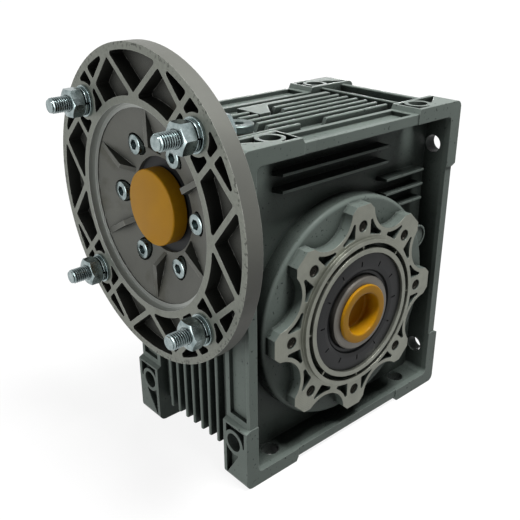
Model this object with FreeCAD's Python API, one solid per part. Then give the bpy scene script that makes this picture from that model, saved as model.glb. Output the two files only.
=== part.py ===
import FreeCAD, Part
import math
import os

# Worm gear reducer, 90 mm centre distance, hollow output shaft, flanged for a motor.
# Frame: origin in the middle of the output bore, X along the worm with the motor at -X,
# Y along the output shaft, Z up. Millimetres throughout.

V = FreeCAD.Vector
X = V(1, 0, 0)
Y = V(0, 1, 0)
Z = V(0, 0, 1)

# Overall sizes, the flange reach counted from the casing's end
centre_distance = 90.0
housing_length = 206.0
housing_width = 130.0
foot_drop = 103.0
top_rise = 135.0
star_span = 134.0
flange_reach = 26.5

# Fits and clearances, how far a cut or a joined solid runs past a face, and how near counts as touching
press_gap = 0.02
running_gap = 0.06
thread_gap = 0.05
free_gap = 0.3
past = 1.0
touch = 1e-6

# Square frames, one on each output side, with their corner pads
frame_depth = 25.0
frame_wall = 7.0
web_thickness = 4.0
pad_proud = 3.5
pad_length = 48.5
pad_slope = 1.8
pad_relief = 0.8
corner_radius = 5.0
opening_radius = 4.0
pad_hole = 13.0
opposite_pad_hole = 13.5
pad_hole_inset = 33.0
pad_hole_spread = 102.0
pad_rim = 3.0
pad_ring = 3.0
pad_pocket = 4.5
channel_depth = 3.0
channel_lip = 4.0

# Casing between the frames
core_inset = 10.0
belly_wall = 5.0
top_floor_drop = 7.5
fin_thickness = 3.0
fin_height = 6.0
fin_pitch = 9.4
fin_round = 1.0
side_fin_count = 7
top_fin_count = 6
top_fin_right = 58.0
front_fin_left = -82.0
front_fin_break = -28.0
front_fin_restart = -7.0
land_fin_length = 19.0
land_fin_restart = -10.0
land_left = -30.0
land_step = 14.0
land_width = 5.0
rail_x = 66.0
end_rail = 4.0
rib_height = 10.0
rib_thickness = 3.4
rib_tip = 1.8
rib_pitch = 11.0
long_rib_drop = 13.0
long_rib_left = -62.0
long_rib_right = 38.0
short_rib_drop = 38.0
short_rib_left = 38.0
short_rib_right = 80.0
window_length = 13.0
window_height = 8.0
window_depth = 12.0
window_rise = 45.0

# Output drum and star flange
drum_radius = 83.0
drum_edge = 3.0
cavity_radius = 79.0
star_thickness = 9.0
star_tip_radius = 80.0
star_waist_radius = 62.5
star_tip_width = 13.0
star_chamfer = 4.5
star_wall = 3.0
star_web = 5.0
star_boss = 15.2
star_knob = 7.6
star_pocket = 6.0
star_corner = 1.2
star_land = 2.5
star_lobes = 8
star_hole_circle = 130.0
star_hole = 8.5
star_hole_depth = 18.0
spigot_height = 3.0
spigot_diameter = 110.0
spigot_ring = 3.0
seal_ring = 3.5
groove_depth = 8.0
groove_web = 1.2
groove_web_drop = 1.5
lug_radius = 9.0
lug_angle = 24.0
lug_drop = 1.0
lug_rim = 1.5
lug_recess = 1.0

# Output shaft, wheel, bearings and seals
hub_length = 140.0
hub_diameter = 55.0
bore_diameter = 35.0
bore_key_width = 10.0
bore_key_depth = 3.3
bore_chamfer = 1.0
hub_shoulder = 64.0
hub_disc_width = 30.0
rim_seat_radius = 56.0
output_bearing_outside = 90.0
output_bearing_width = 18.0
output_bearing_inset = 14.0
bearing_ring = 5.5
bearing_ledge = 2.0
shield_thickness = 1.2
ball_diameter = 9.0
ball_count = 12
output_seal_width = 10.0
output_seal_inset = 2.0
seal_lip = 3.0
seal_bevel = 1.0
seal_step = 2.0
plug_flange_diameter = 47.5
plug_flange = 2.3
plug_depth = 12.0
plug_wall = 1.6
plug_seat_step = 0.5

# Worm mesh
module = 4.8
worm_starts = 1
wheel_teeth = 30
pressure_angle = 20.0
mesh_play = 0.45
root_clearance = 0.25
wheel_face = 32.0
worm_turns = 5

# Worm shaft
sleeve_diameter = 40.0
sleeve_recess = 9.0
motor_bore_diameter = 24.0
motor_bore_depth = 54.5
motor_key_width = 8.0
motor_key_depth = 3.3
worm_neck_diameter = 30.0
input_shoulder = 47.0
shoulder_taper = 4.0
rear_shoulder = 38.0
tunnel_radius = 27.0

# Worm bearings, retaining rings, seal and end cap
input_bearing_outside = 68.0
input_bearing_width = 19.0
input_bearing_inset = 3.5
rear_bearing_outside = 62.0
rear_bearing_width = 20.0
rear_bearing_inset = 15.0
rear_seat_diameter = 30.0
roller_count = 13
roller_angle = 12.0
roller_mid_diameter = 7.0
roller_length = 12.4
cup_setback = 2.3
cone_setback = 2.0
circlip_thickness = 2.0
circlip_height = 4.0
circlip_bite = 1.2
input_seal_outside = 62.0
input_seal_width = 8.0
end_cap_width = 9.0
end_cap_wall = 2.0

# Motor flange
flange_diameter = 200.0
flange_rim = 4.5
flange_rim_width = 11.0
spigot_bore = 130.0
spigot_depth = 5.0
spigot_wall = 4.5
spigot_ledge = 3.0
ledge_drop = 1.0
rim_taper = 2.0
truss_rib = 3.6
truss_corner = 1.5
truss_depth = 9.5
truss_spread = 16.5
truss_offset = 17.7
truss_cross_radius = 84.5
bolt_count = 4
bolt_circle = 165.0
bolt_boss = 24.0
bolt_boss_thickness = 15.0
bolt_hole = 11.0
dish_drop = 10.5
hub_seat_radius = 48.0
hub_seat_height = 8.0
gasket_thickness = 0.8
gusset_count = 6
gusset_thickness = 3.6
gusset_inner_radius = 39.0
gusset_toe = 1.0
gusset_foot = 2.0
flange_screw_circle = 82.0

# Fasteners: thread, head across, head height
m6_thread = 6.0
m6_head = 10.0
m6_head_height = 6.0
m6_socket = 5.0
m8_thread = 8.0
m8_head = 13.0
m8_head_height = 8.0
m8_socket = 6.0
m8_grip = 16.0
socket_depth = 4.0
counterbore_gap = 1.0
drill_point = 2.0
m10_thread = 10.0
m10_hex = 17.0
m10_head_height = 6.4
m10_nut_height = 8.4
bolt_proud = 25.0
flat_washer_diameter = 20.0
flat_washer_thickness = 2.0
spring_washer_diameter = 18.0
spring_washer_thickness = 2.6
spring_washer_split = 1.2

# Side cover
cover_flange = 7.0
cover_radius = 91.0
cover_gap = 1.0
cover_spigot = 11.0
cover_drum_radius = 79.0
cover_screw_circle = 170.6
cover_screw_count = 8
cover_screw_grip = 12.0
cover_seal_width = 2.5
cover_seal_depth = 2.0

# Oil plugs and the motor-bore cap
plug_hex = 16.0
plug_hex_height = 6.0
plug_thread = 12.0
plug_grip = 5.0
plug_washer_diameter = 20.0
plug_washer_thickness = 1.5
filler_rim = 1.0
filler_rise = 1.0
breather_x = -61.0
breather_y = -10.0
cap_diameter = 49.0
cap_wall = 2.2
cap_face = 2.5
cap_bevel = 1.0
cap_seal_gap = 1.2
cap_ribs = 8
cap_rib_width = 3.0

# Places worked out from the sizes above
half_length = housing_length / 2
half_width = housing_width / 2
star_face = star_span / 2
spigot_face = star_face + spigot_height
drum_face = star_face - star_thickness
frame_inner = half_width - frame_depth
web_face = frame_inner + web_thickness
opening_x = half_length - pad_proud - frame_wall
opening_top = top_rise - pad_proud - frame_wall
opening_bottom = -foot_drop + pad_proud + frame_wall
core_x = half_length - core_inset
belly = -cavity_radius - belly_wall
top_floor = top_rise - top_floor_drop
filler_seat = top_floor + filler_rise
pad_hole_side = half_width - pad_hole_spread / 2
seal_bore_radius = output_bearing_outside / 2
hub_radius = hub_diameter / 2
bearing_outer_y = star_face + spigot_height - output_bearing_inset
bearing_inner_y = bearing_outer_y - output_bearing_width
cavity_half = bearing_inner_y - bearing_ledge
ball_radius = ball_diameter / 2
ball_circle_radius = (seal_bore_radius + hub_radius) / 2
ball_centre_y = (bearing_outer_y + bearing_inner_y) / 2
plug_seat_radius = bore_diameter / 2 + plug_seat_step
sleeve_radius = sleeve_diameter / 2
sleeve_end = half_length + flange_reach - sleeve_recess
input_bearing_face = half_length - input_bearing_inset
input_bearing_end = -input_bearing_face + input_bearing_width
rear_bearing_face = half_length - rear_bearing_inset
rear_bearing_start = rear_bearing_face - rear_bearing_width
cover_seat = frame_inner + cover_flange
cover_outer = cover_seat + cover_flange
flange_x = -half_length - flange_reach
mount_x = -half_length - gasket_thickness
screw_seat_x = mount_x - hub_seat_height
dish_x = flange_x + spigot_depth + ledge_drop
hub_x = flange_x + spigot_depth + dish_drop


# Basic solids

def box(x0, x1, y0, y1, z0, z1):
    """Block between the given limits."""
    return Part.makeBox(x1 - x0, y1 - y0, z1 - z0, V(x0, y0, z0))


def rod(axis, radius, start, end, centre=V(0, 0, 0)):
    """Cylinder along axis from start to end, its centre line through centre."""
    return Part.makeCylinder(radius, end - start, centre + axis * start, axis)


def turned(profile, axis, centre=V(0, 0, 0)):
    """Solid of revolution of (radius, position) points about the axis through centre."""
    radial = Y.cross(axis) if axis != Y else X
    points = [centre + radial * r + axis * p for r, p in profile]
    face = Part.Face(Part.makePolygon(points + points[:1]))
    return face.revolve(centre, axis, 360)


def prism(points, depth):
    """Flat polygon carried along the depth vector."""
    return Part.Face(Part.makePolygon(points + points[:1])).extrude(depth)


def joined(solids):
    """One solid from several overlapping ones."""
    return solids[0].multiFuse(solids[1:]).removeSplitter()


def around(solid, count, axis, centre=V(0, 0, 0), first=0.0):
    """Copies of a solid, evenly spaced about an axis, the first turned by first degrees."""
    copies = []
    for k in range(count):
        copy = solid.copy()
        copy.rotate(centre, axis, first + 360.0 * k / count)
        copies.append(copy)
    return copies


def hexagon(across, axis, start, end, centre=V(0, 0, 0)):
    """Hexagonal bar, across its flats, along an axis."""
    side = axis.cross(V(axis.y, axis.z, axis.x))
    up = axis.cross(side)
    corner = across / math.sqrt(3)
    angles = [math.radians(60 * k) for k in range(6)]
    points = [centre + axis * start + side * corner * math.cos(a) + up * corner * math.sin(a) for a in angles]
    return prism(points, axis * (end - start))


def rounded_bar(x0, x1, z0, z1, radius, y0, y1):
    """Rectangular bar along Y with rounded long edges."""
    bar = box(x0, x1, y0, y1, z0, z1)
    long_edges = [e for e in bar.Edges if abs(e.Length - (y1 - y0)) < touch and abs(e.tangentAt(0).y) > 0.9]
    return bar.makeFillet(radius, long_edges)


def crowned(fin, out, level):
    """Fin with its long edges at the level along the outward direction rounded."""
    crown = [e for e in fin.Edges if e.Length > 2 * fin_thickness
             and all(abs(v.Point.dot(out) - level) < touch for v in e.Vertexes)]
    return fin.makeFillet(fin_round, crown)


def soft_pockets(pockets, axis, floor, depth, radius):
    """Pockets made again from their flat floors, shrunk and grown back together to round the corners."""
    floors = [f for f in pockets.Faces if abs(f.CenterOfMass.dot(axis) - floor) < touch
              and f.normalAt(0, 0).cross(axis).Length < touch]
    shrunk = Part.makeCompound(floors).makeOffset2D(-radius, intersection=True)
    return shrunk.makeOffset2D(radius, intersection=True).extrude(axis * depth)


def polar(radius, degrees):
    """Point of the XZ plane at a radius and an angle from X towards Z."""
    a = math.radians(degrees)
    return V(radius * math.cos(a), 0, radius * math.sin(a))


# Star flange, shared by the housing's front and the side cover

def star_outline(inset):
    """Closed outline with a flat chamfered tip per lobe and a hollow arc between lobes."""
    step = 360.0 / star_lobes
    tip = star_tip_radius - inset
    half_tip = star_tip_width / 2 - inset * math.tan(math.pi / 8)
    half_neck = star_tip_width / 2 + star_chamfer - inset
    neck = star_tip_radius - star_chamfer
    edges = []
    corners = []
    for k in range(star_lobes):
        turn = FreeCAD.Rotation(Y, -k * step)
        lobe = [V(neck, 0, -half_neck), V(tip, 0, -half_tip), V(tip, 0, half_tip), V(neck, 0, half_neck)]
        corners.append([turn.multVec(p) for p in lobe])
    for k in range(star_lobes):
        a, b, c, d = corners[k]
        edges += [Part.LineSegment(a, b).toShape(), Part.LineSegment(b, c).toShape()]
        edges.append(Part.LineSegment(c, d).toShape())
        waist = polar(star_waist_radius - inset, (k + 0.5) * step)
        edges.append(Part.Arc(d, waist, corners[(k + 1) % star_lobes][0]).toShape())
    return Part.Wire(edges)


def star_plate(y0, y1, inset=0.0):
    """Star outline carried along Y from y0 to y1."""
    plate = Part.Face(star_outline(inset)).extrude(Y * (y1 - y0))
    plate.translate(Y * y0)
    return plate


def star_cuts():
    """Pockets, threaded holes, ring groove and seal bore of a star flange that faces -Y."""
    floor = -star_face + star_pocket
    mouth = -spigot_face - past
    step = 360.0 / star_lobes
    inner = spigot_diameter / 2 + star_land
    top = -star_face - past
    boss = box(inner - past, star_tip_radius, top, floor, -star_boss / 2, star_boss / 2)
    web = box(inner - past, star_tip_radius, top, floor, -star_web / 2, star_web / 2)
    knob = rod(Y, star_knob / 2, top, floor, V(star_waist_radius - star_wall, 0, 0))
    kept = [rod(Y, inner, top, floor)]
    kept += around(boss, star_lobes, Y) + around(web, star_lobes, Y, first=step / 2)
    kept += around(knob, star_lobes, Y, first=step / 2)
    pockets = soft_pockets(star_plate(top, floor, star_wall).cut(kept), Y, floor, top - floor, star_corner)
    hole = rod(Y, star_hole / 2, mouth, -star_face + star_hole_depth, V(star_hole_circle / 2, 0, 0))
    groove_in = seal_bore_radius + seal_ring
    groove_out = spigot_diameter / 2 - spigot_ring
    groove_floor = -spigot_face + groove_depth
    groove = turned([(groove_in, mouth), (groove_out, mouth), (groove_out, groove_floor),
                     (groove_in, groove_floor)], Y)
    groove_rib = box(groove_in - past, groove_out + past, -spigot_face + groove_web_drop, groove_floor + past,
                     -groove_web / 2, groove_web / 2)
    bore = rod(Y, seal_bore_radius, mouth, -bearing_inner_y)
    throat = rod(Y, seal_bore_radius - bearing_ring, mouth, 0)
    ring_groove = groove.cut(around(groove_rib, star_lobes, Y))
    return [pockets, ring_groove, bore, throat] + around(hole, star_lobes, Y)


# Housing

def pad_tools(corner, along, across, inward, hole):
    """Pockets and bolt hole of one corner pad, from its outer corner along the two edges."""
    boss_radius = pad_hole / 2 + pad_ring
    hole_at = corner + along * pad_hole_inset + across * pad_hole_side
    far_rim = frame_depth - pad_rim
    near = pad_hole_inset - boss_radius
    slot = [(pad_hole_inset, pad_rim), (pad_length - pad_rim, pad_rim), (pad_length - pad_rim, far_rim),
            (pad_hole_inset, far_rim)]
    triangle = [(pad_hole_inset, far_rim), (pad_rim, far_rim), (near, pad_hole_side - boss_radius / 2),
                (pad_hole_inset, pad_hole_side)]
    lift = inward * -past
    boss = Part.makeCylinder(boss_radius, pad_pocket + 2 * past, hole_at + lift, inward)
    tools = []
    for outline in (slot, triangle):
        points = [corner + along * a + across * b + lift for a, b in outline]
        tools.append(prism(points, inward * (pad_pocket + past)).cut(boss))
    depth = frame_wall + pad_proud + 2 * past
    tools.append(Part.makeCylinder(hole / 2, depth, hole_at + lift, inward))
    return tools


def frame_side(side):
    """Square frame with proud corner pads on the output side given by the sign."""
    y0, y1 = sorted((side * frame_inner, side * half_width))
    frame = rounded_bar(-half_length, half_length, -foot_drop, top_rise, corner_radius, y0, y1)
    opening = rounded_bar(-opening_x, opening_x, opening_bottom, opening_top, opening_radius,
                          y0 - past, y1 + past)
    tools = [opening]
    reach = half_length - pad_length
    depth = Y * (y1 - y0)
    for z, out in ((top_rise, 1), (-foot_drop, -1)):
        low = z - out * pad_proud
        ends = ((-reach, low), (reach, low), (reach + pad_slope, z), (-reach - pad_slope, z))
        tools.append(prism([V(a, y0, b) for a, b in ends], depth))
        channel = sorted((low + out * past, low - out * channel_depth))
        run = reach - channel_lip
        tools.append(box(-run, run, y0 + channel_lip, y1 - channel_lip, *channel))
    low_z = -foot_drop + pad_length
    high_z = top_rise - pad_length
    for x, out in ((half_length, 1), (-half_length, -1)):
        low = x - out * pad_proud
        ends = ((low, low_z), (low, high_z), (x, high_z + pad_slope), (x, low_z - pad_slope))
        tools.append(prism([V(a, y0, b) for a, b in ends], depth))
        channel = sorted((low + out * past, low - out * channel_depth))
        tools.append(box(*channel, y0 + channel_lip, y1 - channel_lip,
                         low_z + channel_lip, high_z - channel_lip))
    relief = sorted((side * (half_width + past), side * (half_width - pad_relief)))
    tools.append(box(-reach, reach, *relief, -foot_drop - past, top_rise + past))
    tools.append(box(-half_length - past, half_length + past, *relief, low_z, high_z))
    across = V(0, -side, 0)
    for sx in (1, -1):
        for z, sz in ((top_rise, 1), (-foot_drop, -1)):
            corner = V(sx * half_length, side * half_width, z)
            flat_hole = opposite_pad_hole if sz > 0 else pad_hole
            tools += pad_tools(corner, V(-sx, 0, 0), across, V(0, 0, -sz), flat_hole)
            end_hole = opposite_pad_hole if sx < 0 else pad_hole
            behind_flange = sx < 0 and sz > 0
            if not behind_flange:
                tools += pad_tools(corner, V(0, 0, -sz), across, V(-sx, 0, 0), end_hole)
    return frame.cut(tools)


def top_fins():
    """Cooling fins along X on the top, broken by the filler and by a flat land."""
    first = -frame_inner + (fin_pitch + fin_thickness) / 2
    left = breather_x + plug_washer_diameter / 2 + filler_rim
    low, high = top_floor - past, top_floor + fin_height
    fins = []
    for k in range(top_fin_count):
        y = first + k * fin_pitch
        spans = [(left, top_fin_right)]
        if k == 0:
            spans = [(front_fin_left, front_fin_break), (front_fin_restart, top_fin_right)]
        if k >= top_fin_count - 2:
            spans = [(left, left + land_fin_length), (land_fin_restart, top_fin_right)]
        for a, b in spans:
            outline = [V(a, y, low), V(b, y, low), V(b, y, high), V(a + fin_height / 2, y, high)]
            fins.append(crowned(prism(outline, Y * fin_thickness), Z, high))
    land_y = first + top_fin_count * fin_pitch
    near_y, far_y = land_y - 2 * fin_pitch, land_y + land_width
    land = [(land_left, near_y), (land_left + fin_pitch, near_y), (land_left + fin_pitch + land_step, land_y),
            (top_fin_right, land_y), (top_fin_right, far_y), (land_left, far_y)]
    fins.append(prism([V(x, y, low) for x, y in land], Z * (high - low)))
    for start, end in ((rail_x, rail_x + fin_thickness), (core_x - end_rail, core_x)):
        fins.append(crowned(box(start, end, -frame_inner, frame_inner, low, high), Z, high))
    return fins


def side_fins(side):
    """Upright cooling fins on an end wall, below the worm bearing."""
    low_x, high_x = sorted((side * (core_x - past), side * (core_x + fin_height)))
    first = -(side_fin_count - 1) / 2 * fin_pitch
    top = centre_distance - hub_seat_radius + fin_height
    fins = []
    for k in range(side_fin_count):
        y = first + k * fin_pitch
        fin = box(low_x, high_x, y - fin_thickness / 2, y + fin_thickness / 2, belly, top)
        fins.append(crowned(fin, X * side, core_x + fin_height))
    return fins


def recess_ribs():
    """Stiffening ribs on the front web, thinner outwards, long at the top and short beside the drum."""
    low, high = -web_face - rib_height, -web_face + past
    ribs = []
    for drop, count, left, right in ((long_rib_drop, 2, long_rib_left, long_rib_right),
                                     (short_rib_drop, 3, short_rib_left, short_rib_right)):
        for k in range(count):
            z = opening_top - drop - k * rib_pitch
            section = [(high, z), (low, z), (low, z - rib_tip), (high, z - rib_thickness)]
            ribs.append(prism([V(left, y, h) for y, h in section], X * (right - left)))
    return ribs


def casting_lug():
    """Round lug on the drum's shoulder with a raised rim."""
    place = polar(drum_radius, lug_angle)
    face = -drum_face + lug_drop
    recess = rod(Y, lug_radius - lug_rim, face - past, face + lug_recess, place)
    return rod(Y, lug_radius, face, -frame_inner, place).cut(recess)


def make_housing():
    """Cast casing with both frames, the front drum and star flange, and the worm tunnel."""
    worm_line = V(0, 0, centre_distance)
    solids = [frame_side(-1), frame_side(1)]
    reach = frame_inner + past
    solids.append(box(-core_x, core_x, -reach, reach, belly, top_floor))
    for y0, y1 in ((-web_face, -frame_inner), (frame_inner, web_face)):
        solids.append(box(-opening_x - past, opening_x + past, y0, y1,
                          opening_bottom - past, opening_top + past))
    drum = rod(Y, drum_radius, -drum_face, 0)
    front_edge = [e for e in drum.Edges if abs(e.CenterOfMass.y + drum_face) < touch]
    solids.append(drum.makeFillet(drum_edge, front_edge))
    solids.append(star_plate(-star_face, -drum_face + drum_edge))
    solids.append(rod(Y, spigot_diameter / 2, -spigot_face, -drum_face))
    solids.append(rod(Y, cover_radius, frame_inner - past, cover_seat))
    input_boss = rod(X, hub_seat_radius, -half_length, -core_x + past, worm_line)
    rear_boss = rod(X, rear_bearing_outside / 2 + frame_wall, core_x - past, half_length, worm_line)
    lid = box(-half_length, half_length, -half_width, half_width, top_rise, top_rise + hub_seat_radius)
    solids += [input_boss.cut(lid), rear_boss.cut(lid)]
    solids += top_fins() + side_fins(-1) + side_fins(1) + recess_ribs() + [casting_lug()]
    filler = V(breather_x, breather_y, 0)
    solids.append(rod(Z, plug_washer_diameter / 2 + filler_rim, top_floor - past, filler_seat, filler))
    casting = joined(solids)

    tools = star_cuts()
    tools.append(rod(Y, cavity_radius, -cavity_half, cover_seat + past))
    tools.append(rod(Y, cover_radius + cover_gap, cover_seat, half_width + past))
    tools.append(rod(Y, cavity_radius + cover_seal_depth, cover_seat - cover_spigot, cover_seat + past))
    tools.append(rod(X, tunnel_radius, -half_length - past, half_length + past, worm_line))
    tools.append(rod(X, input_bearing_outside / 2, -half_length - past, input_bearing_end, worm_line))
    tools.append(rod(X, rear_bearing_outside / 2, rear_bearing_start, half_length + past, worm_line))
    for face, out, outside in ((-input_bearing_face, -1, input_bearing_outside),
                               (rear_bearing_face, 1, rear_bearing_outside)):
        start, end = sorted((face, face + out * circlip_thickness))
        tools.append(rod(X, outside / 2 + circlip_bite, start, end, worm_line))
    tapped = rod(X, m8_thread / 2 + thread_gap, -half_length - past, -half_length + m8_grip + drill_point,
                 V(0, -flange_screw_circle / 2, centre_distance))
    tools += around(tapped, gusset_count, X, worm_line)
    cover_hole = rod(Y, m6_thread / 2 + thread_gap, cover_seat - cover_screw_grip - drill_point,
                     cover_seat + past, V(cover_screw_circle / 2, 0, 0))
    tools += around(cover_hole, cover_screw_count, Y, first=180.0 / cover_screw_count)
    plug_hole = plug_thread / 2 + thread_gap
    tools.append(rod(Z, plug_hole, filler_seat - plug_grip - drill_point, filler_seat + past, filler))
    tools.append(rod(Z, plug_hole, belly - past, belly + plug_grip + drill_point))
    window_z = -foot_drop + window_rise
    tools.append(box(-opening_x, -opening_x + window_length, -web_face - past, -web_face + window_depth,
                     window_z, window_z + window_height))
    return casting.cut(tools).removeSplitter()


# Side cover on the far output side

def make_side_cover():
    """Bolted cover with its own star flange, bearing seat and seal seat, facing +Y."""
    spigot_radius = cavity_radius + cover_seal_depth - thread_gap
    solids = [rod(Y, spigot_radius, -cover_seat, -cover_seat + cover_spigot),
              rod(Y, cover_radius, -cover_outer, -cover_seat),
              rod(Y, cover_drum_radius, -drum_face, -cover_seat),
              star_plate(-star_face, -cover_outer),
              rod(Y, spigot_diameter / 2, -spigot_face, -cover_outer)]
    tools = star_cuts()
    seal_start = -cover_seat + cover_spigot / 2
    tools.append(turned([(spigot_radius - cover_seal_depth, seal_start),
                         (spigot_radius + past, seal_start),
                         (spigot_radius + past, seal_start + cover_seal_width),
                         (spigot_radius - cover_seal_depth, seal_start + cover_seal_width)], Y))
    hole = rod(Y, m6_thread / 2 + free_gap, -cover_outer - past, -cover_seat + past,
               V(cover_screw_circle / 2, 0, 0))
    tools += around(hole, cover_screw_count, Y, first=180.0 / cover_screw_count)
    cover = joined(solids).cut(tools).removeSplitter()
    cover.rotate(V(0, 0, 0), Z, 180)
    return cover


def make_cover_seal():
    """Rubber ring squeezed square in the cover spigot's groove."""
    outer = cavity_radius + cover_seal_depth - thread_gap
    inner = outer - cover_seal_depth + press_gap
    end = cover_seat - cover_spigot / 2 - press_gap
    start = end - cover_seal_width + 2 * press_gap
    return turned([(inner, start), (outer, start), (outer, end), (inner, end)], Y)


def socket_screw(axis, seat, thread, head, head_height, socket, grip, centre):
    """Socket head cap screw; its head stands on the side that the axis points away from."""
    body = joined([rod(axis, thread / 2, seat - head_height / 2, seat + grip, centre),
                   rod(axis, head / 2, seat - head_height, seat, centre)])
    top = seat - head_height
    return body.cut(hexagon(socket, axis, top - past, top + socket_depth, centre))


def make_cover_screws():
    """Screws that hold the side cover, heads outside."""
    place = V(cover_screw_circle / 2, 0, 0)
    screw = socket_screw(Y * -1, -cover_outer, m6_thread, m6_head, m6_head_height, m6_socket,
                         cover_flange + cover_screw_grip, place)
    return Part.makeCompound(around(screw, cover_screw_count, Y, first=180.0 / cover_screw_count))


# Output shaft group

def make_output_hub():
    """Hollow output shaft with bearing journals, shoulders and the disc that carries the rim."""
    end = hub_length / 2
    shoulder = bearing_inner_y - press_gap
    disc = hub_disc_width / 2
    bore = bore_diameter / 2
    seat_end = -end + plug_depth + free_gap
    hub = turned([(plug_seat_radius, seat_end), (plug_seat_radius, -end), (hub_radius - bore_chamfer, -end),
                  (hub_radius, -end + bore_chamfer), (hub_radius, -shoulder), (hub_shoulder / 2, -shoulder),
                  (hub_shoulder / 2, -disc), (rim_seat_radius, -disc), (rim_seat_radius, disc),
                  (hub_shoulder / 2, disc), (hub_shoulder / 2, shoulder), (hub_radius, shoulder),
                  (hub_radius, end - bore_chamfer), (hub_radius - bore_chamfer, end),
                  (bore + bore_chamfer, end), (bore, end - bore_chamfer), (bore, seat_end)], Y)
    key_top = bore + bore_key_depth
    keyway = box(-bore_key_width / 2, bore_key_width / 2, -end - past, end + past, 0, key_top)
    return hub.cut(keyway)


def tooth_half_angle(radius, base_radius, pitch_radius, pitch_half_angle):
    """Half the angle of an involute tooth at a radius, in radians."""
    def involute(r):
        slope = math.acos(min(1.0, base_radius / r))
        return math.tan(slope) - slope
    return pitch_half_angle + involute(pitch_radius) - involute(max(radius, base_radius))


def make_wheel_rim():
    """Bronze rim with helical involute teeth that mesh with the worm."""
    pitch_radius = module * wheel_teeth / 2
    worm_pitch = centre_distance - pitch_radius
    base_radius = pitch_radius * math.cos(math.radians(pressure_angle))
    tip, root = pitch_radius + module, pitch_radius - (1 + root_clearance) * module
    half = math.pi / (2 * wheel_teeth) - mesh_play / pitch_radius
    lead_slope = module * worm_starts / (2 * worm_pitch)
    twist = math.degrees(wheel_face / 2 * lead_slope / pitch_radius)
    step = 360.0 / wheel_teeth

    def section(y, turn):
        points = []
        for k in range(wheel_teeth):
            middle = 90.0 + (k + (worm_turns + 1) % 2 * 0.5) * step - turn
            heights = (root, pitch_radius, tip)
            angles = [math.degrees(tooth_half_angle(r, base_radius, pitch_radius, half)) for r in heights]
            for r, a in list(zip(heights, angles)) + list(zip(heights, angles))[::-1]:
                rising = len(points) % 6 < 3
                points.append(polar(r, middle - a if rising else middle + a) + Y * y)
        return Part.makePolygon(points + points[:1])

    teeth = Part.makeLoft([section(-wheel_face / 2, -twist), section(wheel_face / 2, twist)], True, True)
    bore = rod(Y, rim_seat_radius + press_gap, -wheel_face, wheel_face)
    return teeth.cut(bore)


def ball_track():
    """Ring-shaped groove that the balls run in, cut into both rings of a bearing at +Y."""
    return Part.makeTorus(ball_circle_radius, ball_radius + running_gap, Y * ball_centre_y, Y)


def on_side(shape, side):
    """A shape made at +Y, turned round to the front when the side is -1."""
    if side < 0:
        shape.rotate(V(0, 0, 0), Z, 180)
    return shape


def make_output_bearing_outer(side):
    """Outer ring of a ball bearing, with its two shields."""
    outside = seal_bore_radius - press_gap
    inside = outside - bearing_ring
    lip = hub_radius + bearing_ring + free_gap
    a, b = bearing_inner_y, bearing_outer_y
    ring = turned([(outside, a), (lip, a), (lip, a + shield_thickness), (inside, a + shield_thickness),
                   (inside, b - shield_thickness), (lip, b - shield_thickness), (lip, b), (outside, b)], Y)
    return on_side(ring.cut(ball_track()), side)


def make_output_bearing_inner(side):
    """Inner ring of a ball bearing."""
    inside, outside = hub_radius + press_gap, hub_radius + bearing_ring
    bore = rod(Y, inside, bearing_inner_y - past, bearing_outer_y + past)
    ring = rod(Y, outside, bearing_inner_y, bearing_outer_y)
    return on_side(ring.cut([bore, ball_track()]), side)


def make_output_bearing_balls(side):
    """Balls of a bearing, evenly spaced as their cage would hold them."""
    ball = Part.makeSphere(ball_radius, V(ball_circle_radius, ball_centre_y, 0))
    return on_side(Part.makeCompound(around(ball, ball_count, Y)), side)


def make_output_seal(side):
    """Rubber shaft seal with a stepped face and a lip on the hub."""
    outside = seal_bore_radius - press_gap
    inside = hub_radius + running_gap
    b = spigot_face - output_seal_inset
    a = b - output_seal_width
    lip_y = b - seal_step
    ring = turned([(outside, a), (outside, b), (inside + seal_lip + seal_bevel, b),
                   (inside + seal_lip, lip_y), (inside + seal_bevel, lip_y), (inside, lip_y - seal_bevel),
                   (inside, lip_y - 2 * seal_bevel), (inside + seal_lip, a)], Y)
    return on_side(ring, side)


def make_output_plug():
    """Push-in plastic plug that closes the front end of the output bore."""
    face = -hub_length / 2
    outer = plug_seat_radius - running_gap
    inner = outer - plug_wall
    floor = face + plug_depth - plug_wall
    return turned([(inner, face - plug_flange), (plug_flange_diameter / 2, face - plug_flange),
                   (plug_flange_diameter / 2, face), (outer, face), (outer, face + plug_depth),
                   (0, face + plug_depth), (0, floor), (inner, floor)], Y)


# Worm group

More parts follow.
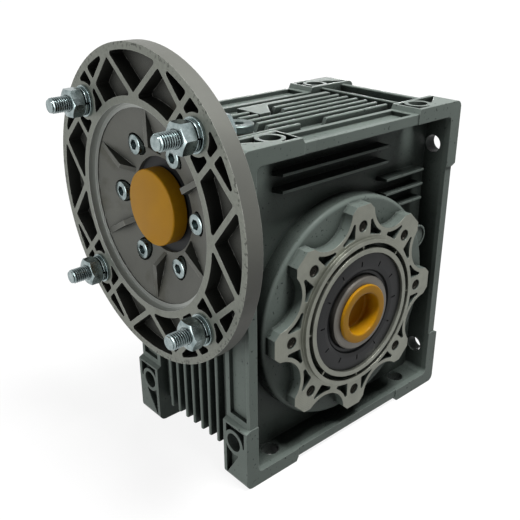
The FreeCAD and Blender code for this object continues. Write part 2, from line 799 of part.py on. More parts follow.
def make_worm_shaft():
    """Hollow-ended worm shaft: keyed motor sleeve, bearing seats and a single-start thread."""
    line = V(0, 0, centre_distance)
    pitch_radius = centre_distance - module * wheel_teeth / 2
    tip = pitch_radius + module
    root = pitch_radius - (1 + root_clearance) * module
    lead = math.pi * module * worm_starts
    thread_half = worm_turns * lead / 2
    neck = worm_neck_diameter / 2
    bore_end = -sleeve_end + motor_bore_depth
    shoulder_end = bore_end + shoulder_taper
    flank = math.tan(math.radians(pressure_angle))
    half_pitch = lead / worm_starts / 4
    half_tip = half_pitch - module * flank
    half_root = half_pitch + (pitch_radius - root + past) * flank
    core_half = thread_half + half_root + past
    shaft = turned([(0, -sleeve_end), (sleeve_radius, -sleeve_end), (sleeve_radius, input_bearing_end),
                    (input_shoulder / 2, input_bearing_end), (input_shoulder / 2, bore_end),
                    (neck, shoulder_end), (neck, -core_half - neck + root), (root, -core_half),
                    (root, core_half), (neck, core_half + neck - root), (neck, rear_bearing_start - neck / 2),
                    (rear_shoulder / 2, rear_bearing_start - neck / 2),
                    (rear_shoulder / 2, rear_bearing_start),
                    (rear_seat_diameter / 2, rear_bearing_start), (rear_seat_diameter / 2, rear_bearing_face),
                    (0, rear_bearing_face)], X, line)
    foot = root - past
    profile = Part.makePolygon([V(foot, 0, -half_root), V(tip, 0, -half_tip), V(tip, 0, half_tip),
                                V(foot, 0, half_root), V(foot, 0, -half_root)])
    helix = Part.makeHelix(lead, 2 * thread_half, pitch_radius)
    thread = Part.Wire(helix).makePipeShell([profile], True, True)
    thread.rotate(V(0, 0, 0), Y, 90)
    thread.translate(V(-thread_half, 0, centre_distance))
    bore = rod(X, motor_bore_diameter / 2, -sleeve_end - past, bore_end, line)
    key_top = centre_distance + motor_bore_diameter / 2 + motor_key_depth
    keyway = box(-sleeve_end - past, bore_end, -motor_key_width / 2, motor_key_width / 2,
                 centre_distance, key_top)
    return joined([shaft.cut([bore, keyway]), thread])


def taper_bearing(outside, seat, width, inner_face, out):
    """Cup, cone and rollers of a taper roller bearing whose wide end faces the worm.

    The roller axes meet the shaft line at one apex, beyond the narrow end.
    """
    line = V(0, 0, centre_distance)
    mid_radius = (outside / 2 + seat) / 2
    mid_x = inner_face + out * width / 2
    tilt = math.radians(roller_angle)
    slant = mid_radius / math.sin(tilt)
    half_cone = math.asin(roller_mid_diameter / 2 / slant)
    apex = mid_x + out * slant * math.cos(tilt)
    half_roller = roller_length / 2
    small, large = slant - half_roller, slant + half_roller

    def race(position, angle):
        return abs(apex - position) * math.tan(angle)

    outer_face = inner_face + out * width
    cup_angle, cone_angle = tilt + half_cone, tilt - half_cone
    cup_gap, cone_gap = running_gap / math.cos(cup_angle), running_gap / math.cos(cone_angle)
    cup_start = inner_face + out * cup_setback
    cup = turned([(outside / 2 - press_gap, cup_start), (outside / 2 - press_gap, outer_face),
                  (race(outer_face, cup_angle) + cup_gap, outer_face),
                  (race(cup_start, cup_angle) + cup_gap, cup_start)], X, line)
    reach = half_roller * math.cos(tilt) + free_gap
    lean = math.tan(half_cone) * math.sin(tilt)
    rib_x = mid_x - out * (reach + large * lean)
    lip_x = mid_x + out * (reach + small * lean)
    cone_end = outer_face - out * cone_setback
    lip = roller_mid_diameter / 4
    cone = turned([(seat + press_gap, inner_face), (race(rib_x, cone_angle) + lip, inner_face),
                   (race(rib_x, cone_angle) + lip, rib_x), (race(rib_x, cone_angle) - cone_gap, rib_x),
                   (race(lip_x, cone_angle) - cone_gap, lip_x), (race(lip_x, cone_angle) + lip / 2, lip_x),
                   (race(lip_x, cone_angle) + lip / 2, cone_end), (seat + press_gap, cone_end)], X, line)
    direction = V(-out * math.cos(tilt), 0, math.sin(tilt))
    start = V(apex, 0, centre_distance) + direction * small
    spread = math.tan(half_cone)
    roller = Part.makeCone(small * spread, large * spread, large - small, start, direction)
    rollers = Part.makeCompound(around(roller, roller_count, X, line))
    return cup, cone, rollers


def make_circlip(outside, face, out):
    """Open retaining ring in its groove beside a bearing."""
    line = V(0, 0, centre_distance)
    outer = outside / 2 + circlip_bite - press_gap
    inner = outer - circlip_height
    a, b = sorted((face + out * press_gap, face + out * (circlip_thickness - press_gap)))
    ring = turned([(inner, a), (outer, a), (outer, b), (inner, b)], X, line)
    mouth = box(a - past, b + past, -circlip_height, circlip_height,
                centre_distance, centre_distance + outer + past)
    return ring.cut(mouth)


def make_input_seal():
    """Rubber shaft seal in the flange hub, its lip on the motor sleeve."""
    line = V(0, 0, centre_distance)
    outside = input_seal_outside / 2 - press_gap
    inside = sleeve_radius + running_gap
    b = mount_x
    a = b - input_seal_width
    lip_x = a + seal_step
    return turned([(outside, a), (outside, b), (inside + seal_lip, b), (inside, lip_x + 2 * seal_bevel),
                   (inside, lip_x + seal_bevel), (inside + seal_bevel, lip_x), (inside + seal_lip, lip_x),
                   (inside + seal_lip, a)], X, line)


def make_end_cap():
    """Pressed cup that closes the rear end of the worm tunnel."""
    line = V(0, 0, centre_distance)
    outer = rear_bearing_outside / 2 - press_gap
    inner = outer - end_cap_wall
    end = half_length - end_cap_wall
    start = end - end_cap_width
    return turned([(0, end - end_cap_wall), (inner, end - end_cap_wall), (inner, start), (outer, start),
                   (outer, end), (0, end)], X, line)


def make_bore_cap():
    """Push-on plastic cap over the motor sleeve, gripping it with inner ribs."""
    line = V(0, 0, centre_distance)
    outer = cap_diameter / 2
    inner = outer - cap_wall
    seat = -sleeve_end - free_gap
    face = seat - cap_face
    mouth = mount_x - input_seal_width - cap_seal_gap
    cup = turned([(0, face), (outer - cap_bevel, face), (outer, face + cap_bevel), (outer, mouth),
                  (inner, mouth), (inner, seat), (0, seat)], X, line)
    grip = sleeve_radius + running_gap
    rib = box(seat - past, mouth - past, grip - past, inner + cap_wall / 2,
              centre_distance - cap_rib_width / 2, centre_distance + cap_rib_width / 2)
    ribs = [r.cut(rod(X, grip, seat, mouth, line)) for r in around(rib, cap_ribs, X, line)]
    return joined([cup] + ribs)


# Motor flange group

def flange_point(radius, degrees):
    """Point of the flange plane, the angle counted from the output side (-Y) upwards."""
    a = math.radians(degrees)
    return V(0, -radius * math.cos(a), centre_distance + radius * math.sin(a))


def truss_bar(start, end, back_x):
    """Upright web between two points of the flange plane, from the flange face to back_x."""
    run = (end - start).normalize()
    side = X.cross(run) * (truss_rib / 2)
    points = [start + side, end + side, end - side, start - side]
    return prism([p + X * flange_x for p in points], X * (back_x - flange_x))


def bolt_place(k):
    """Centre of motor bolt k in the flange plane."""
    return flange_point(bolt_circle / 2, 360.0 / bolt_count * (k + 0.5))


def screw_place(k):
    """Centre of flange screw k in the flange plane."""
    return flange_point(flange_screw_circle / 2, 360.0 / gusset_count * k)


def flange_pockets():
    """Ring of pockets in the flange rim, between the truss webs and the bolt bosses."""
    line = V(0, 0, centre_distance)
    rim = flange_diameter / 2
    inner, outer = spigot_bore / 2 + spigot_wall, rim - flange_rim
    floor = flange_x + truss_depth
    mouth = flange_x - past
    back = floor + past
    step = 360.0 / bolt_count
    shift = math.degrees(math.asin(truss_offset / truss_cross_radius))
    kept = []
    for k in range(bolt_count):
        middle = step * k
        node = flange_point(inner, middle)
        for way in (-1, 1):
            near_bolt = middle + way * step / 2
            bolt = flange_point(bolt_circle / 2, near_bolt)
            tip = flange_point(outer, middle + way * truss_spread)
            cross = flange_point(truss_cross_radius, near_bolt - way * shift)
            bolt_way = flange_point(1.0, near_bolt) - line
            low = cross - bolt_way * (truss_cross_radius - inner)
            high = cross + bolt_way * (rim - truss_cross_radius)
            for start, end in ((node, tip), (tip, cross), (cross, bolt), (low, high)):
                kept.append(truss_bar(start, end, back))
        kept.append(rod(X, bolt_boss / 2, flange_x, back, bolt_place(k)))
        kept.append(truss_bar(bolt_place(k), flange_point(rim, middle + step / 2), back))
    ring = turned([(inner, mouth), (outer, mouth), (outer, floor), (inner, floor)], X, line)
    return soft_pockets(ring.cut(kept), X, floor, mouth - floor, truss_corner)


def dish_gusset(k):
    """Thin web in the dish, between two flange screws."""
    line = V(0, 0, centre_distance)
    run = flange_point(1.0, 360.0 / gusset_count * (k + 0.5)) - line
    side = X.cross(run) * (gusset_thickness / 2)
    outline = [(spigot_bore / 2 - spigot_ledge, dish_x), (gusset_inner_radius, dish_x),
               (input_seal_outside / 2 + gusset_toe, hub_x), (gusset_inner_radius, hub_x + gusset_foot)]
    return prism([line + run * r + X * p + side for r, p in outline], side * -2)


def make_input_flange():
    """Cast motor flange: trussed rim, spigot recess and a conical dish with gussets."""
    line = V(0, 0, centre_distance)
    rim, spigot = flange_diameter / 2, spigot_bore / 2
    rim_back = flange_x + flange_rim_width
    step_x = flange_x + spigot_depth
    seal_radius = input_seal_outside / 2
    ledge = spigot - spigot_ledge
    body = turned([(rim, flange_x), (rim, rim_back), (spigot + spigot_wall, rim_back + rim_taper),
                   (hub_seat_radius, screw_seat_x), (hub_seat_radius, mount_x), (seal_radius, mount_x),
                   (seal_radius, hub_x), (ledge, dish_x), (ledge, step_x), (spigot, step_x),
                   (spigot, flange_x)], X, line)
    solids = [body] + [dish_gusset(k) for k in range(gusset_count)]
    tools = [flange_pockets()]
    boss_back = flange_x + bolt_boss_thickness
    for k in range(bolt_count):
        solids.append(rod(X, bolt_boss / 2, rim_back - past, boss_back, bolt_place(k)))
        tools.append(rod(X, bolt_hole / 2, flange_x - past, boss_back + past, bolt_place(k)))
    for k in range(gusset_count):
        tools.append(rod(X, m8_head / 2 + counterbore_gap, flange_x, screw_seat_x, screw_place(k)))
        tools.append(rod(X, m8_thread / 2 + free_gap, flange_x, mount_x + past, screw_place(k)))
    return joined(solids).cut(tools).removeSplitter()


def make_flange_gasket():
    """Thin gasket between the flange hub and the housing."""
    line = V(0, 0, centre_distance)
    inner = input_bearing_outside / 2
    start, end = mount_x, -half_length
    ring = turned([(inner, start), (hub_seat_radius, start), (hub_seat_radius, end), (inner, end)], X, line)
    lid = box(start, end, -half_width, half_width, top_rise, top_rise + hub_seat_radius)
    hole = m8_thread / 2 + free_gap
    holes = [rod(X, hole, start - past, end + past, screw_place(k)) for k in range(gusset_count)]
    return ring.cut([lid] + holes)


def make_flange_screws():
    """Socket head screws that hold the flange to the housing."""
    grip = -half_length - screw_seat_x + m8_grip
    size = (m8_thread, m8_head, m8_head_height, m8_socket, grip)
    screws = [socket_screw(X, screw_seat_x, *size, screw_place(k)) for k in range(gusset_count)]
    return Part.makeCompound(screws)


def at_bolts(make_piece):
    """One piece at each motor bolt, as a group of separate solids."""
    return Part.makeCompound([make_piece(bolt_place(k)) for k in range(bolt_count)])


def motor_bolt(place):
    """Hex bolt, its head behind the flange and its thread standing out in front."""
    back = flange_x + bolt_boss_thickness
    shank = rod(X, m10_thread / 2, flange_x - bolt_proud, back + past, place)
    return joined([shank, hexagon(m10_hex, X, back, back + m10_head_height, place)])


def flat_washer(place):
    """Plain washer against the flange face."""
    start = flange_x - flat_washer_thickness
    ring = rod(X, flat_washer_diameter / 2, start, flange_x, place)
    return ring.cut(rod(X, m10_thread / 2 + free_gap, start - past, flange_x + past, place))


def spring_washer(place):
    """Split lock washer on the plain washer."""
    end = flange_x - flat_washer_thickness
    start = end - spring_washer_thickness
    ring = rod(X, spring_washer_diameter / 2, start, end, place)
    hole = rod(X, m10_thread / 2 + free_gap, start - past, end + past, place)
    split = box(start, end, place.y - spring_washer_split / 2, place.y + spring_washer_split / 2, place.z,
                place.z + spring_washer_diameter)
    return ring.cut([hole, split])


def bolt_nut(place):
    """Hex nut on the lock washer."""
    end = flange_x - flat_washer_thickness - spring_washer_thickness
    start = end - m10_nut_height
    nut = hexagon(m10_hex, X, start, end, place)
    return nut.cut(rod(X, m10_thread / 2 + thread_gap, start - past, end + past, place))


# Oil plugs

def oil_plug(axis, seat, centre):
    """Hex plug: the thread goes in along the axis, from a washer that stands on the seat."""
    base = seat - plug_washer_thickness
    return joined([rod(axis, plug_thread / 2, base - plug_hex_height / 2, seat + plug_grip, centre),
                   hexagon(plug_hex, axis, base - plug_hex_height, base, centre)])


def plug_washer(axis, seat, centre):
    """Sealing washer under an oil plug."""
    base = seat - plug_washer_thickness
    ring = rod(axis, plug_washer_diameter / 2, base, seat, centre)
    return ring.cut(rod(axis, plug_thread / 2 + thread_gap, base - past, seat + past, centre))


# Assembly

def make_nodes():
    """Every node's name and shape."""
    input_cup, input_cone, input_rollers = taper_bearing(
        input_bearing_outside, sleeve_radius, input_bearing_width, input_bearing_end, -1)
    rear_cup, rear_cone, rear_rollers = taper_bearing(
        rear_bearing_outside, rear_seat_diameter / 2, rear_bearing_width, rear_bearing_start, 1)
    down = Z * -1
    filler = V(breather_x, breather_y, 0)
    return {
        "housing": make_housing(),
        "side_cover": make_side_cover(),
        "side_cover_seal": make_cover_seal(),
        "side_cover_screws": make_cover_screws(),
        "output_hub": make_output_hub(),
        "worm_wheel_rim": make_wheel_rim(),
        "front_bearing_outer": make_output_bearing_outer(-1),
        "rear_bearing_outer": make_output_bearing_outer(1),
        "front_bearing_inner": make_output_bearing_inner(-1),
        "rear_bearing_inner": make_output_bearing_inner(1),
        "front_bearing_balls": make_output_bearing_balls(-1),
        "rear_bearing_balls": make_output_bearing_balls(1),
        "front_output_seal": make_output_seal(-1),
        "rear_output_seal": make_output_seal(1),
        "output_bore_plug": make_output_plug(),
        "worm_shaft": make_worm_shaft(),
        "input_bearing_cup": input_cup,
        "input_bearing_cone": input_cone,
        "input_bearing_rollers": input_rollers,
        "worm_rear_bearing_cup": rear_cup,
        "worm_rear_bearing_cone": rear_cone,
        "worm_rear_bearing_rollers": rear_rollers,
        "input_circlip": make_circlip(input_bearing_outside, -input_bearing_face, -1),
        "worm_rear_circlip": make_circlip(rear_bearing_outside, rear_bearing_face, 1),
        "input_seal": make_input_seal(),
        "worm_end_cap": make_end_cap(),
        "motor_bore_cap": make_bore_cap(),
        "input_flange": make_input_flange(),
        "flange_gasket": make_flange_gasket(),
        "flange_screws": make_flange_screws(),
        "motor_bolts": at_bolts(motor_bolt),
        "motor_bolt_flat_washers": at_bolts(flat_washer),
        "motor_bolt_spring_washers": at_bolts(spring_washer),
        "motor_bolt_nuts": at_bolts(bolt_nut),
        "breather_plug": oil_plug(down, -filler_seat, filler),
        "breather_washer": plug_washer(down, -filler_seat, filler),
        "drain_plug": oil_plug(Z, belly, V(0, 0, 0)),
        "drain_washer": plug_washer(Z, belly, V(0, 0, 0)),
    }


os.makedirs("parts", exist_ok=True)
for name, shape in make_nodes().items():
    shape.exportStep("parts/" + name + ".step")
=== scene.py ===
import math

import bmesh
import bpy
import numpy as np
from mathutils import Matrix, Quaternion, Vector


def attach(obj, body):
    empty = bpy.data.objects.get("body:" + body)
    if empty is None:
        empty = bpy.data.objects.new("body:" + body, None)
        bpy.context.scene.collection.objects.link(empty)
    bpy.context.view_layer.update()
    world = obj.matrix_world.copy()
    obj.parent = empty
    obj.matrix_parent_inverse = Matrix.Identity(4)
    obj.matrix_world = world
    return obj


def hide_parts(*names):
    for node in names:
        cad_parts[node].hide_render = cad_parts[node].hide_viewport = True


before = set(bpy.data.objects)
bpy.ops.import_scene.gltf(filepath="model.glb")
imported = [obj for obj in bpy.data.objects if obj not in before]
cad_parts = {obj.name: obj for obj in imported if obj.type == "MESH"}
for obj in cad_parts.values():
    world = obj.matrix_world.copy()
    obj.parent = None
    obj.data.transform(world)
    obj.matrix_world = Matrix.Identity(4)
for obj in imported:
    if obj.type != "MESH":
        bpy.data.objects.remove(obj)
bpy.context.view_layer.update()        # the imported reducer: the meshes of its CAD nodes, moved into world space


# Housing: one aluminium die casting with both square frames, the fins and the front star flange.
# It is sprayed all over with grey enamel, then the star, the spigot ring and the seal seat are
# turned on a lathe, so those faces are bare metal with fine rings round the output axis.

def linear(code):
    """Linear RGBA of an sRGB hex code: ((c + 0.055) / 1.055) ** 2.4, or c / 12.92 where it is dark."""
    c = np.array([int(code[k:k + 2], 16) for k in (1, 3, 5)]) / 255
    return (*np.where(c > 0.04045, ((c + 0.055) / 1.055) ** 2.4, c / 12.92), 1.0)


def add(tree, kind, inputs=None, **settings):
    """Shader node of a kind: settings are its properties, inputs the values or sockets it takes."""
    made = tree.nodes.new("ShaderNode" + kind)
    for name, value in settings.items():
        setattr(made, name, value)
    for socket, value in (inputs or {}).items():
        if isinstance(value, bpy.types.NodeSocket):
            tree.links.new(value, made.inputs[socket])
        else:
            made.inputs[socket].default_value = value
    return made


def new_material(name):
    """Empty material: returns it, its node tree and the shader that its output shows."""
    material = bpy.data.materials.new(name)
    material.use_nodes = True
    tree = material.node_tree
    return material, tree, tree.nodes["Principled BSDF"]


def dress(node, material):
    """The CAD node's own mesh, shown in a material."""
    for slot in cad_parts[node].material_slots:
        slot.material = material


def rounded_edges(tree, radius):
    """Normal that rounds each edge by a radius in metres, and a share: 1 along the edges, 0 on the faces."""
    rounded = add(tree, "Bevel", {"Radius": radius}, samples=4).outputs["Normal"]
    true = add(tree, "NewGeometry").outputs["Normal"]
    turn = add(tree, "VectorMath", {0: rounded, 1: true}, operation="DOT_PRODUCT").outputs["Value"]
    return rounded, add(tree, "MapRange", {0: turn, 1: 0.985, 2: 0.86, 3: 0.0, 4: 1.0}).outputs[0]


def ring_scale(feed):
    """Scale of a wave texture whose rings lie a feed apart: 2 pi / (20 feed), the feed in millimetres."""
    return 2 * math.pi / (20 * feed / 1000)


def enamelled_casting(name, out, bare_from):
    """Grey enamel on cast aluminium, bare and turned where out * y lies past bare_from, in millimetres.

    The spray leaves a soft orange peel over the cast grain, and thins to a paler edge; the pale
    edge is also a painted highlight, which runs along hollow edges too. The hollows are darkened
    nearly to black by an ambient occlusion mask: painted shade. The turned faces are pale metal with
    rings about the output axis. Each noise's scale is 1000 over the size of its patches in millimetres.
    """
    material, tree, shader = new_material(name)
    place = add(tree, "TexCoord").outputs["Object"]
    rounded, edge = rounded_edges(tree, 0.0008)
    patches = add(tree, "TexNoise", {"Vector": place, "Scale": 1000 / 40, "Detail": 3.0}).outputs["Fac"]
    coat = add(tree, "Mix", {0: patches, 6: linear("#626b66"), 7: linear("#78827c")}, data_type="RGBA")
    # Paler edges: partly thinned paint, partly a painted highlight, which also falls on hollow edges.
    paint_wear_and_painted_highlight = add(tree, "Math", {0: edge, 1: 0.5}, operation="MULTIPLY").outputs[0]
    rubbed = add(tree, "Mix", {0: paint_wear_and_painted_highlight, 6: coat.outputs[2], 7: linear("#a0a8a3")}, data_type="RGBA")
    # Dust nibs of 0.3 mm are drawn at about 1 mm, so that they show in the render.
    nibs = add(tree, "TexNoise", {"Vector": place, "Scale": 1000 / 2.2, "Detail": 1.0}).outputs["Fac"]
    specks = add(tree, "MapRange", {0: nibs, 1: 0.69, 2: 0.75, 3: 0.0, 4: 0.65}).outputs[0]
    worn = add(tree, "Mix", {0: specks, 6: rubbed.outputs[2], 7: linear("#1c1f1d")}, data_type="RGBA")
    # Painted shade: an ambient occlusion mask darkens the hollows nearly to black.
    open_air = add(tree, "AmbientOcclusion", {"Distance": 0.045}, samples=6, only_local=True).outputs["AO"]
    painted_shade = add(tree, "MapRange", {0: open_air, 1: 0.76, 2: 0.32, 3: 0.0, 4: 0.92}).outputs[0]
    y = add(tree, "SeparateXYZ", {0: place}).outputs["Y"]
    past = add(tree, "Math", {0: y, 1: float(out)}, operation="MULTIPLY").outputs[0]
    # The star's shallow pockets, past 60 mm, get less of the painted shade than the casing's hollows.
    star_pocket_shade_scale = add(tree, "MapRange", {0: past, 1: 0.0600, 2: 0.0608, 3: 1.0, 4: 0.6}).outputs[0]
    oil_film_and_painted_shade = add(tree, "Math", {0: painted_shade, 1: star_pocket_shade_scale}, operation="MULTIPLY").outputs[0]
    paint = add(tree, "Mix", {0: oil_film_and_painted_shade, 6: worn.outputs[2], 7: linear("#0d110f")}, data_type="RGBA")
    # The tool's feed is about 0.3 mm a turn; it is drawn at 1.4 mm, so that it shows in the render.
    rings = add(tree, "TexWave", {"Vector": place, "Scale": ring_scale(1.4), "Distortion": 0.6},
                wave_type="RINGS", rings_direction="Y").outputs["Fac"]
    smear = add(tree, "TexNoise", {"Vector": place, "Scale": 1000 / 9, "Detail": 4.0}).outputs["Fac"]
    metal = add(tree, "Mix", {0: smear, 6: linear("#6d6f67"), 7: linear("#8c8e84")}, data_type="RGBA")
    bare = add(tree, "Math", {0: past, 1: bare_from / 1000}, operation="GREATER_THAN").outputs[0]
    colour = add(tree, "Mix", {0: bare, 6: paint.outputs[2], 7: metal.outputs[2]}, data_type="RGBA")
    tree.links.new(colour.outputs[2], shader.inputs["Base Color"])
    metallic = add(tree, "Math", {0: bare, 1: 0.75}, operation="MULTIPLY").outputs[0]
    tree.links.new(metallic, shader.inputs["Metallic"])
    gloss = add(tree, "MapRange", {0: patches, 3: 0.22, 4: 0.36}).outputs[0]
    sheen = add(tree, "MapRange", {0: smear, 3: 0.30, 4: 0.46}).outputs[0]
    rough = add(tree, "Mix", {0: bare, 2: gloss, 3: sheen}).outputs[0]
    tree.links.new(rough, shader.inputs["Roughness"])
    peel = add(tree, "TexNoise", {"Vector": place, "Scale": 1000 / 1.6, "Detail": 2.0}).outputs["Fac"]
    relief = add(tree, "Mix", {0: bare, 2: peel, 3: rings}).outputs[0]
    bump = add(tree, "Bump", {"Strength": 0.25, "Distance": 0.0002, "Height": relief, "Normal": rounded})
    tree.links.new(bump.outputs["Normal"], shader.inputs["Normal"])
    shader.inputs["Specular IOR Level"].default_value = 0.06
    return material


star_face = 67.0
face_skin = 0.1         # a turned face is told from the casting by this depth below it
turned_above = star_face - face_skin
front_enamel = enamelled_casting("sprayed_enamel_on_casting_front", -1, turned_above)
dress("housing", front_enamel)


# Tapped holes of the front star: eight M10 threads cut in the casting on the 130 mm circle.
# The thread's turns show as bright ridges down each hole.

def lathe(angle, *rows):
    """Points (r cos a, r sin a, h) about the z axis, one row per (r, h); both may vary with the angle."""
    r = np.stack([np.broadcast_to(row[0], angle.shape) for row in rows], axis=1)
    h = np.stack([np.broadcast_to(row[1], angle.shape) for row in rows], axis=1)
    return np.stack([r * np.cos(angle)[:, None], r * np.sin(angle)[:, None], h], axis=-1)


def thread_rows(angle, start, end, pitch):
    """Heights and relief of a screw thread, one row per corner of its section.

    In each pitch the relief climbs from 0 to 1 and falls back, and a row climbs one pitch per turn.
    Rows past an end lie on it, the first and last all round, which closes the thread there, and the
    relief fades to 0 over the last pitch before it.
    """
    corners = np.array([0.10, 0.44, 0.56, 0.90])
    section = np.array([0.0, 1.0, 1.0, 0.0])
    turns = np.arange(-2, math.ceil((end - start) / pitch) + 1)
    row = (turns[:, None] + corners).ravel()
    height = np.clip(start + pitch * (row + angle[:, None] / (2 * np.pi)), start, end)
    room = np.minimum(height - start, end - height) / pitch
    return height, np.minimum(np.tile(section, len(turns)), room)


def stood(grid, axis, places):
    """Copies of a grid, its z axis turned to a unit axis and its origin moved to each place."""
    axis = np.asarray(axis, float)
    side = np.roll(axis, 1)
    turn = np.stack([side, np.cross(axis, side), axis])
    return grid @ turn + np.asarray(places, float)[:, None, None, :]


def circle_places(count, radius, first, centre, axis):
    """Points at even angles on a circle about an axis through a centre, the first turned by first degrees."""
    a = np.radians(first + 360.0 / count * np.arange(count))
    side = np.roll(np.asarray(axis, float), 1)
    up = np.cross(axis, side)
    return centre + radius * (np.cos(a)[:, None] * side + np.sin(a)[:, None] * up)


def piece(name, grids, material, body, slot, *nodes):
    """Object whose mesh has one quad per cell of the point grids, given in millimetres.

    Points that fall together, along a seam or at a pole, are merged. The piece rides on a body
    and stands for the CAD nodes, where any are named, which it hides. The slot is not used.
    """
    points, quads, base = [], [], 0
    for grid in grids:
        index = base + np.arange(grid[..., 0].size).reshape(grid.shape[:3])
        corners = (index[:, :-1, :-1], index[:, 1:, :-1], index[:, 1:, 1:], index[:, :-1, 1:])
        quads.append(np.stack(corners, axis=-1).reshape(-1, 4))
        points.append(grid.reshape(-1, 3) / 1000)
        base += index.size
    mesh = bpy.data.meshes.new(name)
    mesh.from_pydata(np.concatenate(points).tolist(), [], np.concatenate(quads).tolist())
    work = bmesh.new()
    work.from_mesh(mesh)
    bmesh.ops.remove_doubles(work, verts=work.verts, dist=2e-6)
    bmesh.ops.recalc_face_normals(work, faces=work.faces)
    work.to_mesh(mesh)
    work.free()
    mesh.shade_smooth()
    mesh.set_sharp_from_angle(angle=math.radians(35))
    mesh.materials.append(material)
    made = bpy.data.objects.new(name, mesh)
    bpy.context.scene.collection.objects.link(made)
    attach(made, body)
    if nodes:
        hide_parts(*nodes)


def tapped_thread(name, dark, light):
    """Freshly cut thread: dark and dull, and streaky from the cutting."""
    material, tree, shader = new_material(name)
    place = add(tree, "TexCoord").outputs["Object"]
    streak = add(tree, "TexNoise", {"Vector": place, "Scale": 1000 / 2.5, "Detail": 3.0}).outputs["Fac"]
    colour = add(tree, "Mix", {0: streak, 6: linear(dark), 7: linear(light)}, data_type="RGBA")
    tree.links.new(colour.outputs[2], shader.inputs["Base Color"])
    rough = add(tree, "MapRange", {0: streak, 3: 0.28, 4: 0.5}).outputs[0]
    tree.links.new(rough, shader.inputs["Roughness"])
    shader.inputs["Metallic"].default_value = 0.8
    return material


star_holes, star_circle_radius = 8, 65.0
tapped_wall = 4.24
tapped_root = 4.14
tapped_height = 0.55
tapped_depth = 15.0
tapped_lead = 0.8
m10_pitch = 1.5
tap_angle = np.linspace(0, 2 * np.pi, 33)
tap_h, tap_relief = thread_rows(tap_angle, -tapped_depth, -tapped_lead, m10_pitch)
tap_r = tapped_root - tapped_height * tap_relief
tapped_hole = lathe(tap_angle, (tapped_wall, -tapped_lead), (tapped_wall, -tapped_depth),
                    *zip(tap_r.T, tap_h.T), (tapped_wall, -tapped_lead))
cut_thread = tapped_thread("tapped_aluminium_thread", "#131312", "#38362f")
front_axis = (0.0, -1.0, 0.0)
front_holes = circle_places(star_holes, star_circle_radius, 0.0, (0, -star_face, 0), front_axis)
piece("front_star_threads", [stood(tapped_hole, front_axis, front_holes)], cut_thread, "housing",
      "grey_painted_casting")


# Screw bosses: half-round swellings of the casting behind the motor flange, in both recesses and on the
# top, round the tapped holes of its side and upper screws. They are cast and sprayed with the housing.

worm_line = 90.0        # height of the worm's axis over the output axis
boss_radius, boss_length, boss_start = 6.5, 18.0, -97.0


def half_round_boss(sunk):
    """Points (x, across, height) of a boss along x on a face: an arc closed by its chord at height 0.

    The arc's centre lies sunk below the chord. Along x the section keeps its size, then shrinks to
    the chord's middle as the cosine of a quarter turn, so the end is rounded.
    """
    turn = np.linspace(-1, 1, 17) * math.acos(sunk / boss_radius)
    turn = np.append(turn, turn[0])
    nose = np.linspace(0, np.pi / 2, 7)
    x = boss_start + np.append([0, 0], boss_length - boss_radius * (1 - np.sin(nose)))[:, None]
    share = np.append([0, 1], np.cos(nose))[:, None]
    return np.stack(np.broadcast_arrays(x, share * boss_radius * np.sin(turn),
                                        share * (boss_radius * np.cos(turn) - sunk)), axis=-1)


side_sunk, side_wall = 2.7, 43.7
side_boss = half_round_boss(side_sunk)[..., [0, 2, 1]] + (0, side_wall, worm_line)
top_sunk, top_across, top_wall = 1.7, 20.5, 127.2
top_boss = half_round_boss(top_sunk) + (0, top_across, top_wall)
mirror = (1, -1, 1)
piece("cast_screw_bosses", [np.stack([side_boss, side_boss * mirror, top_boss, top_boss * mirror])],
      front_enamel, "housing", "grey_painted_casting")


# Output shaft: a hollow forged steel hub, turned all over, with the bronze worm wheel rim pressed
# on its disc. Only its front and rear ends show, round the plug and in the rear seal.

def turned_steel(name, along, height, dark, light):
    """Turned steel or bronze: fine rings about a shaft line, dulled by a film of oil in soft patches.

    along is the letter of the shaft line's axis, and height its z in millimetres.
    """
    material, tree, shader = new_material(name)
    place = add(tree, "TexCoord").outputs["Object"]
    centred = add(tree, "Mapping", {"Vector": place, "Location": (0, 0, -height / 1000)}).outputs[0]
    rounded = add(tree, "Bevel", {"Radius": 0.0004}, samples=4).outputs["Normal"]
    # The tool's feed is about 0.2 mm a turn; it is drawn at 0.9 mm, so that it shows in the render.
    rings = add(tree, "TexWave", {"Vector": centred, "Scale": ring_scale(0.9), "Distortion": 0.4},
                wave_type="RINGS", rings_direction=along).outputs["Fac"]
    oil_film_and_painted_shade = add(tree, "TexNoise", {"Vector": place, "Scale": 1000 / 12, "Detail": 4.0}).outputs["Fac"]
    colour = add(tree, "Mix", {0: oil_film_and_painted_shade, 6: linear(dark), 7: linear(light)}, data_type="RGBA")
    tree.links.new(colour.outputs[2], shader.inputs["Base Color"])
    rough = add(tree, "MapRange", {0: oil_film_and_painted_shade, 3: 0.34, 4: 0.54}).outputs[0]
    tree.links.new(rough, shader.inputs["Roughness"])
    bump = add(tree, "Bump", {"Strength": 0.2, "Distance": 0.0001, "Height": rings, "Normal": rounded})
    tree.links.new(bump.outputs["Normal"], shader.inputs["Normal"])
    shader.inputs["Metallic"].default_value = 0.9
    return material


dress("output_hub", turned_steel("turned_steel_hub", "Y", 0.0, "#4d4b47", "#73706a"))
dress("worm_wheel_rim", turned_steel("hobbed_tin_bronze", "Y", 0.0, "#8a6232", "#b98a4c"))


# Output bearings: two ball bearings of hardened, ground and polished chrome steel, pressed on the
# hub and into the casing and the side cover. They are hidden behind the seals.

